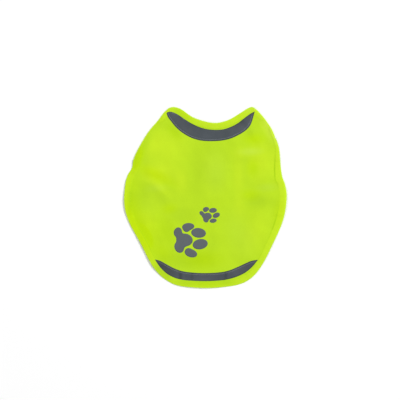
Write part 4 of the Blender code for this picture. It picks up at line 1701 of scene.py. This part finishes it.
class BackPanel:
    """The back panel with its hem and both chest flaps, one cut of cloth."""

    HEM_TONE = 0.55
    RIM_HIGHLIGHT_SHARE = 0.5
    RIM_HIGHLIGHT_FADE = 1.6
    SEAM_SHADE_SHARE = 0.38
    HEM_GUIDES = (-3.2, -2.0, -1.1, -0.2, 0.7, 1.8)
    RIM_GUIDE = 0.9
    RIM_CLEARANCE = 0.7
    TAPE_CLEARANCE = 1.2
    LOOP_CLEARANCE = 1.6
    GUIDE_SLACK = 0.3
    FLAP_GUIDES = (2.0, STITCH_INSET, 0.2, -0.8)
    FLAP_HEM_TONE = 0.8
    FLAP_GROOVE = GROOVE_DEPTH * 0.7
    FOLD_FADE = 6.0
    ROLL_HIGHLIGHT = 0.5
    SEWN_CLEARANCE = 3.0
    FLAP_SEWN_CLEARANCE = 6.0
    PATCH_SEWN_CLEARANCE = 1.5

    def __init__(self, form: VestForm, prints: list[PlanPath], tapes: list["Crescent"]) -> None:
        """Build the wall of the cloth.

        Args:
            form: Heights of the upper layer.
            prints: Closed outlines of the prints.
            tapes: The reflective crescents.
        """
        self.form = form
        self.pattern = form.pattern
        self.wall = Wall()
        loop = self.pattern.panel_loop()
        guides = [*prints, *(guide for tape in tapes for guide in tape.guides())]
        guides += self.hem_guides(loop, [tape.loop for tape in tapes])
        layer = ClothLayer(loop, guides)
        hem = form.hem_field(layer.points)
        under = form.under(layer.points, hem)
        top = form.top(under, hem)
        traits = self.traits(layer.points, hem)
        vertices = self.wall.add(raised(layer.points, top), raised(layer.points, under), traits)
        self.wall.add_faces(vertices[layer.faces])
        for fold in FOLDS:
            line = self.pattern.fold_lines[fold].points
            start = int(np.linalg.norm(loop.points - line[0], axis=1).argmin())
            roll = [vertices[layer.index[start + k]] for k in range(len(line))]
            self.add_flap(fold, roll)

    def traits(self, spots: np.ndarray, hem: HemField) -> dict[str, np.ndarray]:
        """Values of the upper layer for its material."""
        # Painted light and painted shade from the tone table; the turned hem is lighter as doubled cloth
        tone = sum(patch.at(spots) for patch in TONES_AND_PAINTED_LIGHT)
        light = np.maximum(tone, 0.0)
        doubled = light + self.HEM_TONE * hem.turned(HEM_STEP) * (1.0 - np.minimum(light, 1.0))
        # Painted highlight along the rim of the cloth
        rim = shares(RIM_HIGHLIGHT_SHARES, spots, self.RIM_HIGHLIGHT_SHARE) * np.exp(-hem.gap / self.RIM_HIGHLIGHT_FADE)
        # Painted shade in the sewn groove of the hem
        seam = shares(GROOVE_SHADE_SHARES, spots, self.SEAM_SHADE_SHARE) * hem.near(STITCH_INSET, GROOVE_WIDTH)
        return {
            "doubled": doubled,
            "hollow": np.maximum(-tone, 0.0),
            "rim": rim,
            "seam": seam,
            # Painted shade with reflected green light
            "vivid": shares(SHADE_AND_BOUNCE_SHARES, spots),
            # Painted sheen
            "pale": shares(PAINTED_SHEEN_SHARES, spots),
        }

    def hem_guides(self, loop: PlanPath, tapes: list[PlanPath]) -> list[PlanPath]:
        """Lines along the hem where its step and groove turn, clear of the tapes."""
        guides = []
        for places in (NECK_HEM, BODY_HEM):
            for beyond in self.HEM_GUIDES:
                line = self.pattern.hem_line(places, beyond)
                spots = line.points
                keep = self.form.hem_field(spots).inner > beyond - self.GUIDE_SLACK
                keep &= loop.depth(spots) > self.LOOP_CLEARANCE
                for tape in tapes:
                    keep &= tape.depth(spots) < -self.TAPE_CLEARANCE
                guides += line.runs_where(keep)
            edge = self.pattern.stretch(*places)[0].moved(self.RIM_GUIDE)
            keep = loop.depth(edge.points) > self.RIM_CLEARANCE
            guides += edge.runs_where(keep)
        return guides

    @staticmethod
    def flap_lift(fold: Fold, spots: np.ndarray) -> np.ndarray:
        """Height of a flap's underside, which the patch of the left flap holds up."""
        return FLAP_PATCHES[fold].lift(spots) if fold is LEFT_FOLD else np.zeros(len(spots))

    def add_flap(self, fold: Fold, roll_start: list[int]) -> None:
        """Turn one chest flap under: the roll of the fold, then the flap beneath the panel.

        Args:
            fold: The fold.
            roll_start: Numbers of the upper layer's points along the fold line.
        """
        line = self.pattern.fold_lines[fold]
        loop = self.pattern.flap_loops[fold]
        patch = FLAP_PATCHES[fold].loop()
        free_edge = self.pattern.free_edge(fold)
        least_gap = HEM_WIDTH - self.FLAP_GUIDES[0] - self.GUIDE_SLACK
        guides = [patch]
        for inset in self.FLAP_GUIDES:
            path = free_edge.moved(HEM_WIDTH - inset)
            keep = loop.depth(path.points) > self.LOOP_CLEARANCE
            keep &= patch.depth(path.points) < -self.TAPE_CLEARANCE
            keep &= free_edge.nearest(path.points)[0] > least_gap
            guides += path.runs_where(keep)
        layer = ClothLayer(loop, guides)
        spots = layer.points
        gap, along = free_edge.nearest(spots)
        hem = HemField(gap, gap - HEM_WIDTH, along)
        lift = self.flap_lift(fold, spots)
        inwards = ease(line.nearest(spots)[0] / self.FOLD_FADE)
        groove = hem.near(STITCH_INSET, GROOVE_WIDTH)
        turned = hem.turned(HEM_STEP)
        sunk = lift + self.FLAP_GROOVE * inwards * groove
        inner = lift + CLOTH + (HEM_LAYER - HEM_LIFT) * inwards * turned
        traits = {
            "doubled": self.FLAP_HEM_TONE * inwards * turned,
            # Painted shade in the sewn groove of the flap's hem
            "seam": self.SEAM_SHADE_SHARE * inwards * groove,
            # Painted highlight along the flap's edge
            "rim": self.RIM_HIGHLIGHT_SHARE * np.exp(-gap / self.RIM_HIGHLIGHT_FADE),
        }
        vertices = self.wall.add(raised(spots, sunk), raised(spots, inner), traits)
        self.wall.add_faces(vertices[layer.faces[:, ::-1]])
        flap_start = [vertices[layer.index[k]] for k in range(len(line.points))]
        self.add_roll(fold, roll_start, flap_start)

    def add_roll(self, fold: Fold, upper: list[int], lower: list[int]) -> None:
        """Join the upper layer and a flap with the round of the fold.

        Args:
            fold: The fold.
            upper: Numbers of the upper layer's points along the fold line.
            lower: Numbers of the flap's points along it.
        """
        line = self.pattern.fold_lines[fold]
        outward = line.points - line.moved(1.0).points
        across = fold.inset - CLOTH / 2.0
        tops = (self.wall.inner[upper][:, 2] + self.wall.outer[upper][:, 2]) / 2.0
        bottoms = (self.wall.inner[lower][:, 2] + self.wall.outer[lower][:, 2]) / 2.0
        half = (tops - bottoms) / 2.0
        previous = np.array(upper)
        for step in range(1, FOLD_STEPS):
            turn = math.pi * (0.5 - step / FOLD_STEPS)
            plan = line.points + outward * across * math.cos(turn)
            spots = raised(plan, bottoms + half + half * math.sin(turn))
            away = raised(outward * math.cos(turn) / across, math.sin(turn) / half)
            away *= (CLOTH / 2.0 / np.linalg.norm(away, axis=1))[:, None]
            # Painted highlight along the round of the fold
            roll_highlight = np.full(len(plan), self.ROLL_HIGHLIGHT * math.cos(turn))
            doubled = np.ones(len(plan))
            ring = self.wall.add(spots + away, spots - away, {"rim": roll_highlight, "doubled": doubled})
            self.join_rings(previous, ring)
            previous = ring
        self.join_rings(previous, np.array(lower))

    def join_rings(self, upper: np.ndarray, lower: np.ndarray) -> None:
        """Join two lines of the roll with triangles that look outwards."""
        first = np.column_stack((upper[:-1], upper[1:], lower[1:]))
        second = np.column_stack((upper[:-1], lower[1:], lower[:-1]))
        self.wall.add_faces(np.vstack((first, second)))

    def finish(self, cloth: Finish) -> Object:
        """Make the piece of the panel with both flaps."""
        piece = self.wall.build("vest_panel", cloth.material, CLOTH_BULGE)
        settle(piece, "fluorescent_cloth", "back_panel")
        return piece

    def sew(self, thread: Finish) -> list[Object]:
        """Sew the hems of the panel from above and below, and those of the flaps."""
        above = ThreadRow(thread, "fluorescent_cloth")
        below = ThreadRow(thread, "fluorescent_cloth", Facing.DOWN)
        upper = []
        lower = []
        for places in (NECK_HEM, BODY_HEM):
            line = self.pattern.hem_line(places, -STITCH_INSET)
            depth = self.pattern.panel_loop().depth(line.points)
            hem = self.form.hem_field(line.points)
            keep = (depth > self.SEWN_CLEARANCE) & (hem.inner > -STITCH_INSET - self.GUIDE_SLACK)
            for run in line.runs_where(keep):
                hem = self.form.hem_field(run.points)
                under = self.form.under(run.points, hem)
                upper.append(raised(run.points, self.form.top(under, hem)))
                lower.append(raised(run.points, under))
        return [
            above.sew("hem_stitches_above", upper),
            below.sew("hem_stitches_below", lower),
            below.sew("flap_stitches", self.flap_lines()),
        ]

    def flap_lines(self) -> list[np.ndarray]:
        """Lines along the sewn hems of both flaps, on their undersides."""
        lines = []
        for fold in FOLDS:
            free_edge = self.pattern.free_edge(fold)
            line = free_edge.moved(HEM_WIDTH - STITCH_INSET)
            depth = self.pattern.flap_loops[fold].depth(line.points)
            gap = free_edge.nearest(line.points)[0]
            keep = depth > self.FLAP_SEWN_CLEARANCE
            keep &= gap > HEM_WIDTH - STITCH_INSET - self.GUIDE_SLACK
            if fold is LEFT_FOLD:
                keep &= FLAP_PATCHES[fold].loop().depth(line.points) < -self.PATCH_SEWN_CLEARANCE
            for run in line.runs_where(keep):
                lines.append(raised(run.points, self.flap_lift(fold, run.points) + self.FLAP_GROOVE))
        return lines


class Crescent:
    """A reflective crescent, sewn along its edge that looks to the middle of the vest."""

    SEWN_INSET = 2.9
    GUIDE_STEP = 0.9
    LINE_SLACK = 0.15
    GROOVE = 0.2
    GROOVE_HALF = 0.8

    def __init__(self, name: str, stations: tuple[Station, ...], middle_below: bool) -> None:
        """Work out the outline.

        Args:
            name: Name of the solid it stands for.
            stations: Its edges at several distances across the vest.
            middle_below: Whether the middle of the vest is on its lower side.
        """
        self.name = name
        self.upper = open_curve([(row.x, row.upper) for row in stations], EDGE_SPACING)
        self.lower = open_curve([(row.x, row.lower) for row in stations], EDGE_SPACING)
        self.loop = PlanPath(np.vstack((self.upper.points, self.lower.points[-2:0:-1])), True)
        self.middle_below = middle_below

    def sewn_line(self, inset: float) -> list[PlanPath]:
        """The runs of a line so far inside the sewn edge."""
        edge, side = (self.lower, -1.0) if self.middle_below else (self.upper, 1.0)
        line = edge.moved(inset * side)
        return line.runs_where(self.loop.depth(line.points) > inset - self.LINE_SLACK)

    def guides(self) -> list[PlanPath]:
        """Paths that the cloth's mesh keeps, so that the tape has clean edges and a groove."""
        lines = [self.loop]
        for step in (-self.GUIDE_STEP, 0.0, self.GUIDE_STEP):
            lines += self.sewn_line(self.SEWN_INSET + step)
        return lines

    def lay(self, panel: BackPanel, tape: Finish, thread: Finish) -> Object:
        """Lay the tape on the panel and sew it.

        Args:
            panel: The panel it lies on.
            tape: Finish of the tape.
            thread: Finish of its thread.

        Returns:
            The tape.
        """
        overlay = panel.wall.overlay(self.loop, Facing.UP, Facing.UP, TAPE_THICKNESS)
        sewn = self.sewn_line(self.SEWN_INSET)
        plan = overlay.base[:, :2]
        gap = np.min([run.nearest(plan)[0] for run in sewn], axis=0)
        groove = self.GROOVE * bell(gap, self.GROOVE_HALF)
        wall = overlay.wall(groove, {"shade": shares(TAPE_SHADES, plan)})
        piece = wall.build(self.name.replace("_tape", "_crescent"), tape.material, TAPE_BULGE, steps=1)
        settle(piece, "reflective_tape", self.name)
        rise = LAY_GAP + TAPE_THICKNESS - self.GROOVE
        lines = [raised(run.points, panel.form.surface(run.points) + rise) for run in sewn]
        row = ThreadRow(thread, "reflective_tape", pitch=2.7, length=2.4, radius=0.27, rise=0.42, depth=0.2)
        row.sew(self.name.replace("_tape", "_stitches"), lines)
        return piece


class PawPrint:
    """A paw print: a pad and four toes of thin grey film on the cloth."""

    RAYS = 90
    REACH = 40.0
    HALVINGS = 32

    def __init__(self, paw: Paw) -> None:
        """Work out the outlines of the pad and the toes."""
        self.paw = paw
        self.loops = [self.flowed(ovals) for ovals in (paw.pad, *paw.toes)]

    def flowed(self, ovals: tuple[Oval, ...]) -> PlanPath:
        """Flow ovals together into one outline.

        Args:
            ovals: The ovals, the first of which lies nearest the middle.

        Returns:
            The closed outline, with even points.
        """
        centre = np.mean([(oval.x, oval.y) for oval in ovals], axis=0)
        turns = np.linspace(0.0, 2.0 * math.pi, self.RAYS, endpoint=False)
        rays = np.column_stack((np.cos(turns), np.sin(turns)))
        near = np.zeros(self.RAYS)
        far = np.full(self.RAYS, self.REACH)
        for _ in range(self.HALVINGS):
            middle = (near + far) / 2.0
            inside = self.fill(centre + rays * middle[:, None], ovals) > 1.0
            near = np.where(inside, middle, near)
            far = np.where(inside, far, middle)
        loop = PlanPath(centre + rays * near[:, None], True)
        mileage = loop.mileage()
        count = max(FEWEST_PRINT_POINTS, round(mileage[-1] / PRINT_SPACING))
        places = np.linspace(0.0, mileage[-1], count, endpoint=False)
        line = loop.line()
        even = [np.interp(places, mileage, line[:, axis]) for axis in (0, 1)]
        return PlanPath(np.column_stack(even), True)

    def fill(self, spots: np.ndarray, ovals: tuple[Oval, ...]) -> np.ndarray:
        """How strongly the ovals fill each spot, 1 on the outline of a single one."""
        return sum(oval.fill(spots, self.paw.softness) for oval in ovals)

    def lay(self, panel: BackPanel, film: Finish) -> Object:
        """Lay the film of the whole print on the panel as one piece."""
        whole = Wall()
        for loop in self.loops:
            part = panel.wall.overlay(loop, Facing.UP, Facing.UP, PRINT_THICKNESS).wall()
            vertices = whole.add(part.outer, part.inner, part.traits)
            whole.add_faces(vertices[part.faces])
        piece = whole.build(self.paw.name, film.material, PRINT_BULGE, steps=1)
        settle(piece, "reflective_print")
        return piece


class BellyStrap:
    """A belly strap of doubled cloth, folded under along the flank."""

    EDGE_STITCH = 2.4
    EDGE_CORNER = 1.5
    BOX_START = 1.0
    BOX_LENGTH = 19.0
    BOX_INSET = 3.4
    BOX_CORNER = 0.8
    GROOVE = 0.22
    GROOVE_HALF = 0.9
    SEAM_SHADE_TONE = 2.2
    DOUBLED_TONE = 0.5
    PATCH_CLEARANCE = 1.0
    STITCH_HEIGHT = 0.1

    def __init__(self, side: str, strip: Strip, end: Strip, patch_beneath: bool, form: VestForm) -> None:
        """Keep the strap's place and build its wall.

        Args:
            side: The side of the vest, left or right.
            strip: The strap in plan.
            end: The closure patch at its free end.
            patch_beneath: Whether the patch is under the strap.
            form: Heights of the upper layer.
        """
        self.side = side
        self.strip = strip
        self.end = end
        self.patch_beneath = patch_beneath
        self.form = form
        loop = strip.loop()
        layer = ClothLayer(loop, [end.loop()])
        under = self.under(layer.points)
        groove = self.GROOVE * bell(loop.depth(layer.points) - self.EDGE_STITCH, self.GROOVE_HALF)
        # Painted shade in the sewn groove; the doubled strap is lighter
        traits = {"seam": groove * self.SEAM_SHADE_TONE, "doubled": np.full(len(under), self.DOUBLED_TONE)}
        outer = raised(layer.points, under + STRAP_THICKNESS - groove)
        self.wall = Wall()
        self.wall.add(outer, raised(layer.points, under + groove), traits)
        self.wall.add_faces(layer.faces)

    def under(self, spots: np.ndarray) -> np.ndarray:
        """Height of the strap's underside, raised to the panel where it is sewn on."""
        hem = self.form.hem_field(spots)
        panel = self.form.under(spots, hem) - STRAP_SEAM_GAP - STRAP_THICKNESS
        seam = panel * ease(1.0 - self.strip.reached(spots) / STRAP_SEAM_REACH)
        return np.maximum(seam, self.end.lift(spots) if self.patch_beneath else 0.0)

    def finish(self, cloth: Finish, thread: Finish) -> Object:
        """Make the strap and sew its edges and its box at the flank."""
        piece = self.wall.build(f"strap_{self.side}", cloth.material, CLOTH_BULGE)
        settle(piece, "fluorescent_cloth", f"belly_strap_{self.side}")
        edge = self.strip.loop(self.EDGE_STITCH, self.EDGE_CORNER)
        box = self.strip.part(self.BOX_START, self.BOX_LENGTH, STRAP_WIDTH - 2.0 * self.BOX_INSET)
        lines = []
        for line in (edge.line(), box.loop(self.BOX_INSET, self.BOX_CORNER).line()):
            keep = np.ones(len(line), dtype=bool)
            if self.patch_beneath:
                keep = self.end.loop().depth(line) < -self.PATCH_CLEARANCE
            for run in PlanPath(line).runs_where(keep):
                lines.append(raised(run.points, self.under(run.points) + self.STITCH_HEIGHT))
        ThreadRow(thread, "fluorescent_cloth", Facing.DOWN).sew(f"strap_stitches_{self.side}", lines)
        return piece


@dataclass(frozen=True)
class ClosurePatch:
    """A hook or loop patch on a layer of cloth, with its pile and its sewn border."""

    name: str
    kind: Closure
    strip: Strip
    side: Facing
    layer: Facing
    pitch: float = 1.35
    pile_inset: float = 2.6
    pile_height: float = 0.42
    pile_seed: int = 5
    border: float = 1.3
    border_corner: float = 1.5
    border_sink: float = 0.05

    def lay(self, wall: Wall, weave: Finish, thread: Finish) -> Object:
        """Lay the patch on its cloth, and grow its pile.

        Args:
            wall: The cloth it is sewn to.
            weave: Finish of the patch.
            thread: Finish of its border stitches.

        Returns:
            The patch.
        """
        loop = self.strip.loop()
        overlay = wall.overlay(loop, self.side, self.layer, PATCH_THICKNESS)
        body = overlay.wall()
        piece = body.build(self.name.replace("_patch", "_ground"), weave.material, PATCH_BULGE, steps=1)
        settle(piece, "hook_and_loop", self.name)
        spots = ClothLayer.grid(self.strip.loop(self.pile_inset), np.array(FAR_AWAY), self.pitch)
        reach, radius, spread = self.kind.value
        values = {
            "Reach": reach * MM,
            "Rise": self.pile_height * self.side.value * MM,
            "Bristle Radius": radius * MM,
            "Spread": spread,
            "Seed": self.pile_seed,
            "Material": weave.material,
        }
        feet = raised(spots, self.face_height(body, spots))
        pile = grown(self.name.replace("_patch", "_pile"), feet, [], PileTree.shared(), values)
        settle(pile, "hook_and_loop")
        border = self.strip.loop(self.border, self.border_corner).line()
        line = raised(border, self.face_height(body, border) - self.border_sink * self.side.value)
        row = ThreadRow(thread, "hook_and_loop", self.side, pitch=2.4, length=2.0, rise=0.3)
        row.sew(self.name.replace("_patch", "_border"), [line])
        return piece

    def face_height(self, body: Wall, spots: np.ndarray) -> np.ndarray:
        """Height of the patch's own face at each spot, from its nearest point."""
        face = body.outer if self.side is Facing.UP else body.inner
        tree = plan_tree(face)
        return np.array([face[tree.find((*spot, 0.0))[1]][2] for spot in spots])


@dataclass(frozen=True)
class Softbox:
    """A square soft light: its place and its side in metres, and its power in watts."""

    name: str
    place: tuple[float, float, float]
    side: float
    power: float

    def hang(self) -> None:
        """Hang the light so that it looks at the vest."""
        light = bpy.data.lights.new(self.name, "AREA")
        light.shape = "SQUARE"
        light.size = self.side
        light.energy = self.power
        lamp = placed(self.name, light)
        lamp.location = self.place
        lamp.rotation_euler = (-Vector(self.place)).to_track_quat("-Z", "Y").to_euler()


class Studio:
    """The pale floor, the soft light and the camera straight above."""

    CENTRE = (-0.00967, -0.00452)
    FRAME_WIDTH = 0.7229
    LENS = 100.0
    SENSOR = 36.0
    VEST_HEIGHT = 0.003
    FLOOR_DROP = 0.0003
    FLOOR_SIZE = 12.0
    FLOOR_LOOK = {"Base Color": (0.96, 0.96, 0.96, 1.0), "Roughness": 0.9, "Specular IOR Level": 0.1}
    SURROUND = {"Color": (1.0, 1.0, 1.0, 1.0), "Strength": 0.45}
    SOFTBOXES = (
        Softbox("key_light", (2.4, 2.0, 3.6), 2.0, 148.0),
        Softbox("fill_light", (-2.8, -1.2, 3.6), 3.2, 56.0),
    )

    def floor(self) -> None:
        """Lay a plain pale floor just under the vest."""
        half = self.FLOOR_SIZE / 2.0
        corners = [(-half, -half), (half, -half), (half, half), (-half, half)]
        mesh = bpy.data.meshes.new("floor")
        mesh.from_pydata([(x, y, -self.FLOOR_DROP) for x, y in corners], [], [(0, 1, 2, 3)])
        material = bpy.data.materials.new("pale_floor")
        material.use_nodes = True
        tree = material.node_tree
        TreeBuilder(tree).feed(tree.nodes["Principled BSDF"], self.FLOOR_LOOK)
        mesh.materials.append(material)
        floor = placed("floor", mesh)

    def light(self) -> None:
        """Set an even white surround and the soft lights."""
        world = bpy.data.worlds.new("studio")
        bpy.context.scene.world = world
        world.use_nodes = True
        TreeBuilder(world.node_tree).feed(world.node_tree.nodes["Background"], self.SURROUND)
        for softbox in self.SOFTBOXES:
            softbox.hang()
        bpy.context.scene.view_settings.view_transform = "Standard"

    def camera(self) -> None:
        """Hang the camera straight above, with the neck at the top of the picture."""
        data = bpy.data.cameras.new("camera")
        data.lens = self.LENS
        data.sensor_width = self.SENSOR
        camera = placed("camera", data)
        distance = self.FRAME_WIDTH * self.LENS / self.SENSOR
        camera.location = (*self.CENTRE, self.VEST_HEIGHT + distance)
        bpy.context.scene.camera = camera


def main() -> None:
    """Build the vest and its studio."""
    logging.basicConfig(level=logging.INFO, format="%(message)s")
    studio = Studio()
    studio.camera()
    studio.floor()
    studio.light()
    effects = ShaderEffects()
    cloth = FluorescentCloth(effects)
    tape = ReflectiveTape(effects)
    film = PrintFilm(effects)
    thread = Thread(effects)
    tape_thread = TapeThread(effects)
    weave = ClosureWeave(effects)
    form = VestForm(VestPattern())
    crescents = [Crescent("neck_tape", NECK_STATIONS, True), Crescent("tail_tape", TAIL_STATIONS, False)]
    paws = [PawPrint(LARGE_PAW), PawPrint(SMALL_PAW)]
    panel = BackPanel(form, [loop for paw in paws for loop in paw.loops], crescents)
    panel_piece = panel.finish(cloth)
    trims = panel.sew(thread)
    trims += [crescent.lay(panel, tape, tape_thread) for crescent in crescents]
    trims += [paw.lay(panel, film) for paw in paws]
    right = BellyStrap("right", RIGHT_STRAP, RIGHT_END, True, form)
    left = BellyStrap("left", LEFT_STRAP, LEFT_END, False, form)
    straps = [right.finish(cloth, thread), left.finish(cloth, thread)]
    patches = (
        (ClosurePatch("chest_hook_patch", Closure.HOOK, CHEST_HOOK, Facing.UP, Facing.DOWN), panel.wall),
        (ClosurePatch("chest_loop_patch", Closure.LOOP, CHEST_LOOP, Facing.DOWN, Facing.DOWN), panel.wall),
        (ClosurePatch("belly_loop_patch", Closure.LOOP, RIGHT_END, Facing.DOWN, Facing.UP), right.wall),
        (ClosurePatch("belly_hook_patch", Closure.HOOK, LEFT_END, Facing.UP, Facing.UP), left.wall),
    )
    for patch, wall in patches:
        patch.lay(wall, weave, thread)


if __name__ == "__main__":
    main()
